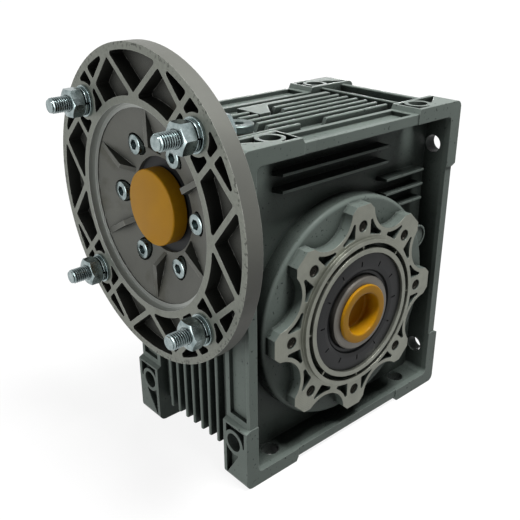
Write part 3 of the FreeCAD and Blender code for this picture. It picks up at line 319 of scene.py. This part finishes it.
def ground_steel(name, dark, light, low, high):
    """Ground and polished steel: bright, clouded by oil between a low and a high roughness."""
    material, tree, shader = new_material(name)
    place = add(tree, "TexCoord").outputs["Object"]
    cloud = add(tree, "TexNoise", {"Vector": place, "Scale": 1000 / 6, "Detail": 3.0}).outputs["Fac"]
    colour = add(tree, "Mix", {0: cloud, 6: linear(dark), 7: linear(light)}, data_type="RGBA")
    tree.links.new(colour.outputs[2], shader.inputs["Base Color"])
    rough = add(tree, "MapRange", {0: cloud, 3: low, 4: high}).outputs[0]
    tree.links.new(rough, shader.inputs["Roughness"])
    shader.inputs["Metallic"].default_value = 1.0
    return material


bearing_steel = ground_steel("ground_bearing_steel", "#8d9092", "#b9bcbe", 0.12, 0.26)
for side in ("front", "rear"):
    for part in ("outer", "inner", "balls"):
        dress(f"{side}_bearing_{part}", bearing_steel)


# Side cover: an aluminium casting that closes the rear of the casing and carries the rear star.
# It is enamelled and turned as the housing is, and eight socket screws hold it on a rubber ring.

dress("side_cover", enamelled_casting("sprayed_enamel_on_casting_rear", 1, turned_above))
rear_axis = (0.0, 1.0, 0.0)
rear_holes = circle_places(star_holes, star_circle_radius, 0.0, (0, star_face, 0), rear_axis)
piece("rear_star_threads", [stood(tapped_hole, rear_axis, rear_holes)], cut_thread, "housing",
      "grey_cast_cover")


def nitrile_rubber(name, dark, light):
    """Moulded black nitrile rubber: dull, with a fine mould grain and a faint grey bloom in patches."""
    material, tree, shader = new_material(name)
    place = add(tree, "TexCoord").outputs["Object"]
    bloom = add(tree, "TexNoise", {"Vector": place, "Scale": 1000 / 14, "Detail": 4.0}).outputs["Fac"]
    colour = add(tree, "Mix", {0: bloom, 6: linear(dark), 7: linear(light)}, data_type="RGBA")
    tree.links.new(colour.outputs[2], shader.inputs["Base Color"])
    rough = add(tree, "MapRange", {0: bloom, 3: 0.32, 4: 0.5}).outputs[0]
    tree.links.new(rough, shader.inputs["Roughness"])
    grain = add(tree, "TexNoise", {"Vector": place, "Scale": 1000 / 0.7, "Detail": 2.0}).outputs["Fac"]
    bump = add(tree, "Bump", {"Strength": 0.2, "Distance": 0.0001, "Height": grain})
    tree.links.new(bump.outputs["Normal"], shader.inputs["Normal"])
    shader.inputs["Specular IOR Level"].default_value = 0.2
    return material


rubber = nitrile_rubber("moulded_nitrile_rubber", "#0d0e0f", "#1b1d1f")
dress("side_cover_seal", rubber)


def zinc_plated(name, dark, light, low, high):
    """Zinc plate with a blue passivation: a cool sheen, clouded by the bath from a low to a high roughness.

    Sockets and thread roots are darkened by an ambient occlusion mask, which is painted shade.
    """
    material, tree, shader = new_material(name)
    place = add(tree, "TexCoord").outputs["Object"]
    rounded = add(tree, "Bevel", {"Radius": 0.00018}, samples=4).outputs["Normal"]
    cloud = add(tree, "TexNoise", {"Vector": place, "Scale": 1000 / 3.5, "Detail": 4.0}).outputs["Fac"]
    plate = add(tree, "Mix", {0: cloud, 6: linear(dark), 7: linear(light)}, data_type="RGBA")
    # Painted shade: an ambient occlusion mask darkens sockets and thread roots.
    open_air = add(tree, "AmbientOcclusion", {"Distance": 0.0025}, samples=6, only_local=True).outputs["AO"]
    painted_shade_in_hollows = add(tree, "MapRange", {0: open_air, 1: 0.85, 2: 0.35, 3: 0.0, 4: 0.9}).outputs[0]
    colour = add(tree, "Mix", {0: painted_shade_in_hollows, 6: plate.outputs[2], 7: linear("#161b1b")}, data_type="RGBA")
    tree.links.new(colour.outputs[2], shader.inputs["Base Color"])
    rough = add(tree, "MapRange", {0: cloud, 3: low, 4: high}).outputs[0]
    tree.links.new(rough, shader.inputs["Roughness"])
    pits = add(tree, "TexNoise", {"Vector": place, "Scale": 1000 / 0.8, "Detail": 2.0}).outputs["Fac"]
    bump = add(tree, "Bump", {"Strength": 0.12, "Distance": 0.0001, "Height": pits, "Normal": rounded})
    tree.links.new(bump.outputs["Normal"], shader.inputs["Normal"])
    shader.inputs["Metallic"].default_value = 1.0
    return material


zinc = zinc_plated("zinc_plated_steel", "#4c5f61", "#b4c0c0", 0.16, 0.34)


def hex_radius(angle, across):
    """Radius to a hexagon's side: half across / cos(angle from the flat), corners every 60 degrees."""
    return across / 2 / np.cos(angle % (np.pi / 3) - np.pi / 6)


def socket_screw(thread, head, height, socket, depth, grip):
    """Socket head cap screw standing on z = 0: knurled head, chamfered rim, hexagonal socket and plain shank.

    The knurl is a ripple of the head's radius: head / 2 - ripple * (1 - cos(ridges * angle)) / 2. The
    socket ends in the cone that its drill leaves.
    """
    ridges, ripple, rim, mouth, drilled = 36, 0.22, 0.7, 0.15, 0.9
    angle = np.linspace(0, 2 * np.pi, 4 * ridges + 1)
    side = head / 2 - ripple * (1 - np.cos(ridges * angle)) / 2
    key = hex_radius(angle, socket)
    floor = height - depth
    return lathe(angle, (0, floor - socket / 4), (key * drilled, floor), (key, floor), (key, height - mouth),
                 (key + mouth, height), (head / 2 - rim, height), (head / 2 - rim / 4, height - rim / 2),
                 (side, height - rim), (side, rim), (head / 2 - rim, 0), (thread / 2, 0),
                 (thread / 2, -grip), (0, -grip))


cover_outer = 54.0
cover_screws, cover_circle, cover_first = 8, 85.3, 22.5
cover_screw_places = circle_places(cover_screws, cover_circle, cover_first, (0, cover_outer, 0), rear_axis)
m6_screw = socket_screw(thread=6.0, head=10.0, height=6.0, socket=5.0, depth=4.0, grip=19.0)
piece("cover_socket_screws", [stood(m6_screw, rear_axis, cover_screw_places)], zinc, "housing",
      "zinc_plated_steel", "side_cover_screws")


# Output seals: moulded rubber shaft seals pressed into the star's seat, with a step down to the
# lip that runs on the hub. Twelve short slots lie round the face, left by the mould.

def softened(corners, cuts, steps=4):
    """Profile with rounded corners: each corner P becomes (1-t)^2 A + 2t(1-t) P + t^2 B.

    A and B lie a cut away from P along its two sides; a cut of 0 leaves the corner as it is.
    """
    p = np.asarray(corners, float)
    cut = np.broadcast_to(np.asarray(cuts, float), len(p))[:, None]
    back, ahead = np.roll(p, 1, axis=0) - p, np.roll(p, -1, axis=0) - p
    a = p + back / np.linalg.norm(back, axis=1, keepdims=True) * cut
    b = p + ahead / np.linalg.norm(ahead, axis=1, keepdims=True) * cut
    t = np.linspace(0, 1, steps + 1)[:, None, None]
    return ((1 - t) ** 2 * a + 2 * t * (1 - t) * p + t ** 2 * b).transpose(1, 0, 2).reshape(-1, 2)


def repeated_angles(count, half, reach):
    """Angles of a full turn in radians, and where they lie within reach of one of count even middles.

    half holds the degrees from half a step before a middle up to it; it is mirrored past the middle.
    """
    step = 360.0 / count
    whole = np.concatenate([half, -half[-2:0:-1]])
    angle = (step * np.arange(count)[:, None] + whole).ravel()
    angle = np.append(angle, angle[0] + 360.0)
    return np.radians(angle), np.abs((angle + step / 2) % step - step / 2) < reach


seal_outside, seal_width, seal_back = 44.98, 10.0, 30.56
slot_count, slot_width, slot_inner, slot_outer, slot_depth, slot_lead = 12, 1.0, 35.3, 38.7, 0.7, 0.3
step_outer, step_foot, step_inner, step_depth = 31.76, 30.76, 28.76, 2.2
lip_radius, lip_high, lip_low = 27.56, 3.2, 4.2
slot_edge = math.degrees(slot_width / 2 / slot_outer)
beside_slot = np.array([-15.0, -11.0, -7.0, -4.0, -2 * slot_edge, -1.2 * slot_edge, -slot_edge, 0.0])
seal_angle, in_slot = repeated_angles(slot_count, beside_slot, 1.1 * slot_edge)
slot_floor = -slot_depth * in_slot
outer_rim = softened([(seal_back, -seal_width), (seal_outside, -seal_width), (seal_outside, 0.0),
                      (slot_outer + slot_lead, 0.0)], (0, 0.4, 0.8, 0))
slot_rows = [(slot_outer, slot_floor), (slot_inner, slot_floor), (slot_inner - slot_lead, 0.0)]
lip = softened([(step_outer, 0.0), (step_foot, -step_depth), (step_inner, -step_depth),
                (lip_radius, -lip_high), (lip_radius, -lip_low), (seal_back, -seal_width)],
               (0.6, 0.5, 0.5, 0.3, 0.5, 0))
seal = lathe(seal_angle, *outer_rim, *slot_rows, *lip)
seal_face = 68.0
for side, axis in (("front", front_axis), ("rear", rear_axis)):
    piece(f"{side}_shaft_seal", [stood(seal, axis, [np.array(axis) * seal_face])], rubber, "housing",
          "black_rubber", f"{side}_output_seal")


# Output plug: an injection moulded cup of soft yellow plastic, pushed into the front of the bore
# for transport. Its flange lies on the end of the hub, and its lip and floor are rounded.

def soft_yellow_plastic(name, dark, light):
    """Moulded polyethylene: waxy, a little translucent and clouded, with a fine mould grain."""
    material, tree, shader = new_material(name)
    place = add(tree, "TexCoord").outputs["Object"]
    depth = add(tree, "TexNoise", {"Vector": place, "Scale": 1000 / 18, "Detail": 2.0}).outputs["Fac"]
    colour = add(tree, "Mix", {0: depth, 6: linear(dark), 7: linear(light)}, data_type="RGBA")
    tree.links.new(colour.outputs[2], shader.inputs["Base Color"])
    rough = add(tree, "MapRange", {0: depth, 3: 0.32, 4: 0.46}).outputs[0]
    tree.links.new(rough, shader.inputs["Roughness"])
    grain = add(tree, "TexNoise", {"Vector": place, "Scale": 1000 / 0.9, "Detail": 2.0}).outputs["Fac"]
    bump = add(tree, "Bump", {"Strength": 0.1, "Distance": 0.0001, "Height": grain})
    tree.links.new(bump.outputs["Normal"], shader.inputs["Normal"])
    shader.inputs["Specular IOR Level"].default_value = 0.15
    shader.inputs["Subsurface Weight"].default_value = 0.15
    shader.inputs["Subsurface Radius"].default_value = (0.004, 0.002, 0.0005)
    return material


yellow = soft_yellow_plastic("moulded_yellow_polyethylene", "#9d6f08", "#b3810c")
round_angle = np.linspace(0, 2 * np.pi, 97)
cup_radius, cup_depth, cup_mouth, cup_inside, cup_floor = 17.94, 12.0, 15.6, 15.1, 10.2
cup_rim, rim_height = 22.0, 2.3
plug_profile = softened([(0, -cup_depth), (cup_radius, -cup_depth), (cup_radius, 0.0), (cup_rim, 0.0),
                         (cup_rim, rim_height), (cup_mouth, rim_height), (cup_inside, -cup_floor),
                         (0, -cup_floor)], (0, 1.2, 0, 0.5, 0.9, 1.1, 2.0, 0))
hub_end = 70.0
piece("yellow_bore_plug", [stood(lathe(round_angle, *plug_profile), front_axis, [(0, -hub_end, 0)])], yellow,
      "output_plug", "yellow_plastic", "output_bore_plug")


# Worm shaft: case-hardened steel, with the keyed motor sleeve in one piece with the thread.
# It runs in two taper roller bearings, each kept by a spring steel ring; all of it lies inside.

dress("worm_shaft", turned_steel("ground_worm_steel", "X", worm_line, "#7d7b78", "#a9a7a3"))
for node in ("input_bearing", "worm_rear_bearing"):
    for part in ("cup", "cone", "rollers"):
        dress(f"{node}_{part}", bearing_steel)
spring_steel = ground_steel("blued_spring_steel", "#2f3338", "#4a5058", 0.3, 0.5)
for node in ("input_circlip", "worm_rear_circlip"):
    dress(node, spring_steel)


# Worm end cap: a steel cup with rubber moulded round it, pressed into the rear end of the tunnel.
# Its face is dished inside a raised rim.

end_cap_radius, end_cap_inside, end_cap_width, end_cap_face = 30.98, 28.98, 9.0, 101.0
dish_radius, dish_rim, dish_depth, dish_back = 25.0, 26.2, 3.2, 5.0
cap_profile = softened([(0, -dish_depth), (dish_radius, -dish_depth), (dish_rim, 0.0), (end_cap_radius, 0.0),
                        (end_cap_radius, -end_cap_width), (end_cap_inside, -end_cap_width),
                        (end_cap_inside, -dish_back), (0, -dish_back)],
                       (0, 1.0, 0.8, 0.7, 0.3, 0.3, 0.8, 0))
end_cap = stood(lathe(round_angle, *cap_profile), (1.0, 0.0, 0.0), [(end_cap_face, 0, worm_line)])
piece("rubber_end_cap", [end_cap], rubber, "housing", "black_rubber", "worm_end_cap")


# Motor flange: cast aluminium in the same grey, with the face of its ribs and its spigot turned bare.
# A fibre gasket lies behind its hub, and a shaft seal in its middle runs on the motor sleeve.

def machined_flange(name, face):
    """Grey cast aluminium, skimmed where it lies past the face, in millimetres along -x.

    The casting is matt and a little mottled, and its pockets are darkened by an ambient occlusion
    mask: painted shade. The skimmed ribs are paler, with the tool's rings and worn, stained edges,
    the rim's corner is chipped, and the spigot's bore and ledge are turned bright.
    """
    material, tree, shader = new_material(name)
    place = add(tree, "TexCoord").outputs["Object"]
    centred = add(tree, "Mapping", {"Vector": place, "Location": (0, 0, -worm_line / 1000)}).outputs[0]
    rounded, edge = rounded_edges(tree, 0.0006)
    patches = add(tree, "TexNoise", {"Vector": place, "Scale": 1000 / 30, "Detail": 4.0}).outputs["Fac"]
    cast = add(tree, "Mix", {0: patches, 6: linear("#5a5b57"), 7: linear("#6c6d67")}, data_type="RGBA")
    grit = add(tree, "TexNoise", {"Vector": place, "Scale": 1000 / 2.2, "Detail": 4.0}).outputs["Fac"]
    skim = add(tree, "Mix", {0: grit, 6: linear("#676a63"), 7: linear("#84877f")}, data_type="RGBA")
    # Painted shade: an ambient occlusion mask darkens the pockets nearly to black.
    open_air = add(tree, "AmbientOcclusion", {"Distance": 0.028}, samples=6, only_local=True).outputs["AO"]
    painted_shade = add(tree, "MapRange", {0: open_air, 1: 0.86, 2: 0.38, 3: 0.0, 4: 0.92}).outputs[0]
    cast_with_painted_shade = add(tree, "Mix", {0: painted_shade, 6: cast.outputs[2], 7: linear("#0d0e0d")}, data_type="RGBA")
    x = add(tree, "SeparateXYZ", {0: place}).outputs["X"]
    bare = add(tree, "Math", {0: x, 1: -face / 1000}, operation="LESS_THAN").outputs[0]
    ribs = add(tree, "Mix", {0: bare, 6: cast_with_painted_shade.outputs[2], 7: skim.outputs[2]}, data_type="RGBA")
    knocks = add(tree, "TexNoise", {"Vector": place, "Scale": 1000 / 5, "Detail": 5.0}).outputs["Fac"]
    wear = add(tree, "MapRange", {0: knocks, 1: 0.35, 2: 0.65, 3: 0.0, 4: 0.7}).outputs[0]
    worn = add(tree, "Math", {0: edge, 1: wear}, operation="MULTIPLY").outputs[0]
    rubbed = add(tree, "Mix", {0: worn, 6: ribs.outputs[2], 7: linear("#c4c6bf")}, data_type="RGBA")
    across = add(tree, "VectorMath", {0: centred, 1: (0, 1, 1)}, operation="MULTIPLY").outputs["Vector"]
    radius = add(tree, "VectorMath", {0: across}, operation="LENGTH").outputs["Value"]
    # Chips of 0.5 mm in the rim's outer 4.5 mm are drawn at about 1 mm, so that they show in the render.
    band = add(tree, "MapRange", {0: radius, 1: 0.0955, 2: 0.0990, 3: 0.0, 4: 1.0}).outputs[0]
    nicks = add(tree, "TexNoise", {"Vector": place, "Scale": 1000 / 2.0, "Detail": 3.0}).outputs["Fac"]
    chips = add(tree, "MapRange", {0: nicks, 1: 0.55, 2: 0.63, 3: 0.0, 4: 0.7}).outputs[0]
    rim = add(tree, "Math", {0: band, 1: chips}, operation="MULTIPLY").outputs[0]
    skimmed_rim = add(tree, "Math", {0: rim, 1: bare}, operation="MULTIPLY").outputs[0]
    chipped = add(tree, "Mix", {0: skimmed_rim, 6: rubbed.outputs[2], 7: linear("#262722")}, data_type="RGBA")
    blots = add(tree, "TexNoise", {"Vector": place, "Scale": 1000 / 22, "Detail": 6.0}).outputs["Fac"]
    spread = add(tree, "MapRange", {0: blots, 1: 0.60, 2: 0.74, 3: 0.0, 4: 0.45}).outputs[0]
    stained = add(tree, "Mix", {0: spread, 6: chipped.outputs[2], 7: linear("#3f3d31")}, data_type="RGBA")
    inside = add(tree, "Math", {0: radius, 1: spigot_side / 1000}, operation="LESS_THAN").outputs[0]
    above = add(tree, "Math", {0: x, 1: -spigot_ledge / 1000}, operation="LESS_THAN").outputs[0]
    spigot = add(tree, "Math", {0: inside, 1: above}, operation="MULTIPLY").outputs[0]
    colour = add(tree, "Mix", {0: spigot, 6: stained.outputs[2], 7: linear("#9a9d99")}, data_type="RGBA")
    tree.links.new(colour.outputs[2], shader.inputs["Base Color"])
    cut = add(tree, "Math", {0: bare, 1: spigot}, operation="MAXIMUM").outputs[0]
    metallic = add(tree, "MapRange", {0: cut, 3: 0.15, 4: 0.6}).outputs[0]
    tree.links.new(metallic, shader.inputs["Metallic"])
    matt = add(tree, "MapRange", {0: grit, 3: 0.40, 4: 0.56}).outputs[0]
    rough = add(tree, "Mix", {0: spigot, 2: matt, 3: 0.36}).outputs[0]
    tree.links.new(rough, shader.inputs["Roughness"])
    # The skim's feed of 0.4 mm is drawn at 1.4 mm, so that it shows in the render.
    rings = add(tree, "TexWave", {"Vector": centred, "Scale": ring_scale(1.4), "Distortion": 0.6},
                wave_type="RINGS", rings_direction="X").outputs["Fac"]
    relief = add(tree, "Mix", {0: cut, 2: grit, 3: rings}).outputs[0]
    bump = add(tree, "Bump", {"Strength": 0.2, "Distance": 0.0002, "Height": relief, "Normal": rounded})
    tree.links.new(bump.outputs["Normal"], shader.inputs["Normal"])
    shader.inputs["Specular IOR Level"].default_value = 0.15
    return material


flange_face = 129.5
spigot_side, spigot_ledge = 65.0 + face_skin, 124.5 - face_skin
dress("input_flange", machined_flange("skimmed_cast_aluminium", flange_face - face_skin))


def fibre_board(name, dark, light):
    """Pressed fibre gasket: matt, flecked by its short fibres."""
    material, tree, shader = new_material(name)
    place = add(tree, "TexCoord").outputs["Object"]
    fleck = add(tree, "TexNoise", {"Vector": place, "Scale": 1000 / 1.2, "Detail": 5.0}).outputs["Fac"]
    colour = add(tree, "Mix", {0: fleck, 6: linear(dark), 7: linear(light)}, data_type="RGBA")
    tree.links.new(colour.outputs[2], shader.inputs["Base Color"])
    shader.inputs["Roughness"].default_value = 0.85
    return material


dress("flange_gasket", fibre_board("pressed_fibre_board", "#4a4640", "#6b665d"))
dress("input_seal", rubber)

motor_axis = (-1.0, 0.0, 0.0)
screw_count, screw_circle, screw_seat = 6, 41.0, 111.8
flange_screw_places = circle_places(screw_count, screw_circle, 0.0, (-screw_seat, 0, worm_line), motor_axis)
m8_screw = socket_screw(thread=8.0, head=13.0, height=8.0, socket=6.0, depth=4.0, grip=24.8)
piece("flange_socket_screws", [stood(m8_screw, motor_axis, flange_screw_places)], zinc, "housing",
      "zinc_plated_steel", "flange_screws")


# Motor bolts: four zinc plated M10 hex bolts through the flange's bosses, heads behind, each with a
# plain washer, a split spring washer and a nut in front. Their rolled threads stand out for the motor.

def ring_section(inner, outer, low, high, cut):
    """Closed profile of a ring: a rectangle from inner to outer and from low to high, rounded by a cut."""
    section = softened([(inner, low), (outer, low), (outer, high), (inner, high)], cut)
    return np.append(section, section[:1], axis=0)


bolt_count, bolt_circle, bolt_first = 4, 82.5, 45.0
bolt_places = circle_places(bolt_count, bolt_circle, bolt_first, (-flange_face, 0, worm_line), motor_axis)
m10_radius, m10_depth = 5.0, 0.92
hex_across, hex_crown, hex_chamfer = 17.0, 0.95, math.radians(30)
bolt_proud, boss_thickness, head_height = 25.0, 15.0, 6.4
hex_angle = np.linspace(0, 2 * np.pi, 49)
hex_side = hex_radius(hex_angle, hex_across)
hex_flat = hex_crown * hex_across / 2
hex_lead = (hex_side - hex_flat) * math.tan(hex_chamfer)
head_back = -boss_thickness - head_height
stud_h, stud_relief = thread_rows(hex_angle, 0.0, bolt_proud, m10_pitch)
stud_r = m10_radius - m10_depth + m10_depth * stud_relief
bolt = lathe(hex_angle, (0, head_back), (hex_flat, head_back), (hex_side, head_back + hex_lead),
             (hex_side, -boss_thickness), (m10_radius, -boss_thickness), (m10_radius, 0.0),
             *zip(stud_r.T, stud_h.T), (0, bolt_proud))
piece("motor_hex_bolts", [stood(bolt, motor_axis, bolt_places)], zinc, "housing", "zinc_plated_steel",
      "motor_bolts")

washer_bore, plain_radius, plain_height = 5.3, 10.0, 2.0
plain_washer = lathe(round_angle, *ring_section(washer_bore, plain_radius, 0.0, plain_height, 0.25))
piece("plain_washers", [stood(plain_washer, motor_axis, bolt_places)], zinc, "housing",
      "zinc_plated_steel", "motor_bolt_flat_washers")

split_angle, split_rise = 0.07, 0.35
coil_radius, coil_low, coil_high = 9.0, 2.35, 4.25
coil_angle = np.linspace(split_angle, 2 * np.pi - split_angle, 65)
coil_rise = split_rise * (coil_angle / np.pi - 1)
coil_section = ring_section(washer_bore, coil_radius, coil_low, coil_high, 0.3)
coil = lathe(coil_angle, *((r, h + coil_rise) for r, h in coil_section))
coil_ends = coil.mean(axis=1, keepdims=True)[[0, -1]]
coil = np.concatenate([np.broadcast_to(coil_ends[:1], coil[:1].shape), coil,
                       np.broadcast_to(coil_ends[1:], coil[:1].shape)])
piece("split_spring_washers", [stood(coil, motor_axis, bolt_places)], zinc, "housing", "zinc_plated_steel",
      "motor_bolt_spring_washers")

nut_low, nut_high, nut_bore, nut_mouth = 4.6, 13.0, 5.05, 5.6
nut_lead = nut_mouth - nut_bore
nut = lathe(hex_angle, (nut_mouth, nut_low), (hex_flat, nut_low), (hex_side, nut_low + hex_lead),
            (hex_side, nut_high - hex_lead), (hex_flat, nut_high), (nut_mouth, nut_high),
            (nut_bore, nut_high - nut_lead), (nut_bore, nut_low + nut_lead), (nut_mouth, nut_low))
piece("motor_hex_nuts", [stood(nut, motor_axis, bolt_places)], zinc, "housing", "zinc_plated_steel",
      "motor_bolt_nuts")


# Motor bore cap: a moulded yellow cup pushed over the end of the motor sleeve for transport.
# Its face is flat inside a rounded edge, and ribs inside grip the sleeve.

cap_mouth, cap_face, cap_radius, cap_wall, cap_end = 113.0, 123.3, 24.5, 2.2, 2.5
cap_height = cap_face - cap_mouth
cap_inside, cap_floor = cap_radius - cap_wall, cap_height - cap_end
grip_ribs, grip_width, grip_radius, grip_start, rib_lead = 8, 3.0, 20.06, 1.0, 0.1
rib_edge = math.degrees(grip_width / 2 / grip_radius)
beside_rib = np.array([-22.5, -17.0, -12.0, -8.0, -rib_edge - rib_lead, -rib_edge, 0.0])
cap_angle, on_rib = repeated_angles(grip_ribs, beside_rib, rib_edge + rib_lead / 2)
gripping = np.where(on_rib, grip_radius, cap_inside)
cap_skin = softened([(cap_inside, 0.0), (cap_radius, 0.0), (cap_radius, cap_height), (0, cap_height)],
                    (0, 0.4, 1.3, 0))
motor_cap = lathe(cap_angle, (0, cap_floor), (gripping, cap_floor), (gripping, grip_start),
                  (cap_inside, grip_start), *cap_skin)
piece("yellow_motor_cap", [stood(motor_cap, motor_axis, [(-cap_mouth, 0, worm_line)])],
      yellow, "motor_cap", "yellow_plastic", "motor_bore_cap")


# Oil plugs: a filler plug on the top and a drain plug under the belly, both zinc plated steel plugs
# with a round collar and a hexagonal socket for the key, each sealed by a copper ring.

plug_collar, plug_height, plug_thread, plug_grip = 10.8, 5.0, 6.0, 5.0
collar_edge, collar_foot = 0.5, 0.6
plug_socket, socket_floor, socket_cone, drilled_share = 8.0, 1.6, 1.2, 0.9
mouth_depth, mouth_width = 0.2, 0.3
ring_bore, ring_radius, ring_height = 6.1, 10.0, 1.5


def oil_plug():
    """Collar plug on its sealing ring at z = 0: hexagonal socket, chamfered collar, thread below."""
    key = hex_radius(round_angle, plug_socket)
    end = -plug_grip - ring_height
    return lathe(round_angle, (0, socket_floor - socket_cone), (key * drilled_share, socket_floor),
                 (key, socket_floor), (key, plug_height - mouth_depth), (key + mouth_width, plug_height),
                 (plug_collar - collar_edge, plug_height), (plug_collar, plug_height - collar_edge),
                 (plug_collar, collar_foot), (plug_collar - collar_foot, 0.0),
                 (plug_thread, 0.0), (plug_thread, end), (0, end))


def copper_ring(name, dark, light):
    """Annealed copper washer, darkened: warm and dull, brown with oxide and oil in patches."""
    material, tree, shader = new_material(name)
    place = add(tree, "TexCoord").outputs["Object"]
    oxide = add(tree, "TexNoise", {"Vector": place, "Scale": 1000 / 4, "Detail": 4.0}).outputs["Fac"]
    colour = add(tree, "Mix", {0: oxide, 6: linear(dark), 7: linear(light)}, data_type="RGBA")
    tree.links.new(colour.outputs[2], shader.inputs["Base Color"])
    rough = add(tree, "MapRange", {0: oxide, 3: 0.4, 4: 0.6}).outputs[0]
    tree.links.new(rough, shader.inputs["Roughness"])
    shader.inputs["Metallic"].default_value = 1.0
    return material


copper = copper_ring("oxidised_copper", "#332d29", "#574a41")
dull_zinc = zinc_plated("dull_zinc_plated_steel", "#525e5c", "#788381", 0.42, 0.58)
ring = lathe(round_angle, *ring_section(ring_bore, ring_radius, 0.0, ring_height, 0.45))
filler_seat, drain_seat = (-61.0, -10.0, 128.5), (0.0, 0.0, -84.0)
up, down = np.array((0.0, 0.0, 1.0)), np.array((0.0, 0.0, -1.0))
for name, seat, axis in (("breather", filler_seat, up), ("drain", drain_seat, down)):
    piece(f"{name}_copper_ring", [stood(ring, axis, [seat])], copper, "housing", "copper_washer",
          f"{name}_washer")
    piece(f"{name}_collar_plug", [stood(oil_plug(), axis, [seat + axis * ring_height])], dull_zinc, "housing",
          "zinc_plated_steel", f"{name}_plug")


# Studio: a white floor that keeps a soft shadow, a white surround, a soft lamp high in front, a weak one
# low on the left and one low behind on the right. The camera stands where the photograph was taken from.

floor_half, floor_level = 4.0, -0.103
floor_mesh = bpy.data.meshes.new("floor")
floor_corners = [(-floor_half, -floor_half, floor_level), (floor_half, -floor_half, floor_level),
                 (floor_half, floor_half, floor_level), (-floor_half, floor_half, floor_level)]
floor_mesh.from_pydata(floor_corners, [], [(0, 1, 2, 3)])
floor = bpy.data.objects.new("floor", floor_mesh)
bpy.context.scene.collection.objects.link(floor)


def seen_ray(tree):
    """1 for a ray that the camera sees directly, in a mirror or through glass, and 0 for one that lights."""
    ray = add(tree, "LightPath").outputs
    mirrored = add(tree, "Math", {0: ray["Is Camera Ray"], 1: ray["Is Glossy Ray"]}, operation="MAXIMUM")
    return add(tree, "Math", {0: mirrored.outputs[0], 1: ray["Is Transmission Ray"]},
               operation="MAXIMUM").outputs[0]


white_paper = bpy.data.materials.new("white_paper_sweep")
white_paper.use_nodes = True
paper_tree = white_paper.node_tree
grey = add(paper_tree, "BsdfDiffuse", {"Color": linear("#808080")}).outputs[0]
matt = add(paper_tree, "BsdfDiffuse", {"Color": linear("#f2f2f2")}).outputs[0]
glow = add(paper_tree, "Emission", {"Color": (1, 1, 1, 1), "Strength": 1.05}).outputs[0]
spot = add(paper_tree, "TexCoord").outputs["Object"]
away = add(paper_tree, "VectorMath", {0: spot}, operation="LENGTH").outputs["Value"]
share = add(paper_tree, "MapRange", {0: away, 1: 0.25, 2: 0.9, 3: 0.84, 4: 1.0},
            interpolation_type="SMOOTHSTEP").outputs[0]
white = add(paper_tree, "MixShader", {0: share, 1: matt, 2: glow}).outputs[0]
paper = add(paper_tree, "MixShader", {0: seen_ray(paper_tree), 1: grey, 2: white}).outputs[0]
paper_tree.links.new(paper, paper_tree.nodes["Material Output"].inputs["Surface"])
floor_mesh.materials.append(white_paper)

world = bpy.data.worlds.new("white_surround")
bpy.context.scene.world = world
world.use_nodes = True
sky = world.node_tree
light = add(sky, "Background", {"Color": (1, 1, 1, 1), "Strength": 0.05}).outputs[0]
backdrop = add(sky, "Background", {"Color": (1, 1, 1, 1), "Strength": 1.0}).outputs[0]
surround = add(sky, "MixShader", {0: seen_ray(sky), 1: light, 2: backdrop}).outputs[0]
sky.links.new(surround, sky.nodes["World Output"].inputs["Surface"])

lamp_target = Vector((0, 0, 0.02))
for name, place, size, power in (("key_lamp", (0.05, -0.34, 1.15), 0.35, 18.5),
                                 ("fill_lamp", (-0.95, -0.05, 0.05), 0.6, 5.5),
                                 ("back_lamp", (0.80, 0.80, -0.02), 0.4, 13.0)):
    lamp = bpy.data.lights.new(name, "AREA")
    lamp.size = size
    lamp.energy = power
    holder = bpy.data.objects.new(name, lamp)
    holder.location = place
    holder.rotation_euler = (lamp_target - Vector(place)).to_track_quat("-Z", "Y").to_euler()
    bpy.context.scene.collection.objects.link(holder)

picture_width = 520
focal_pixels = 719.88
camera_place = Vector((-0.3478, -0.3603, 0.2438))
view_direction = Vector((0.5987, 0.6871, -0.4117))
camera_roll = math.radians(0.33)
lens = bpy.data.cameras.new("camera")
lens.sensor_width = 36.0
lens.lens = focal_pixels / picture_width * lens.sensor_width
camera = bpy.data.objects.new("camera", lens)
camera.location = camera_place
aim = view_direction.to_track_quat("-Z", "Y") @ Quaternion((0, 0, 1), -camera_roll)
camera.rotation_euler = aim.to_euler()
bpy.context.scene.collection.objects.link(camera)
bpy.context.scene.camera = camera
bpy.context.scene.view_settings.view_transform = "Standard"
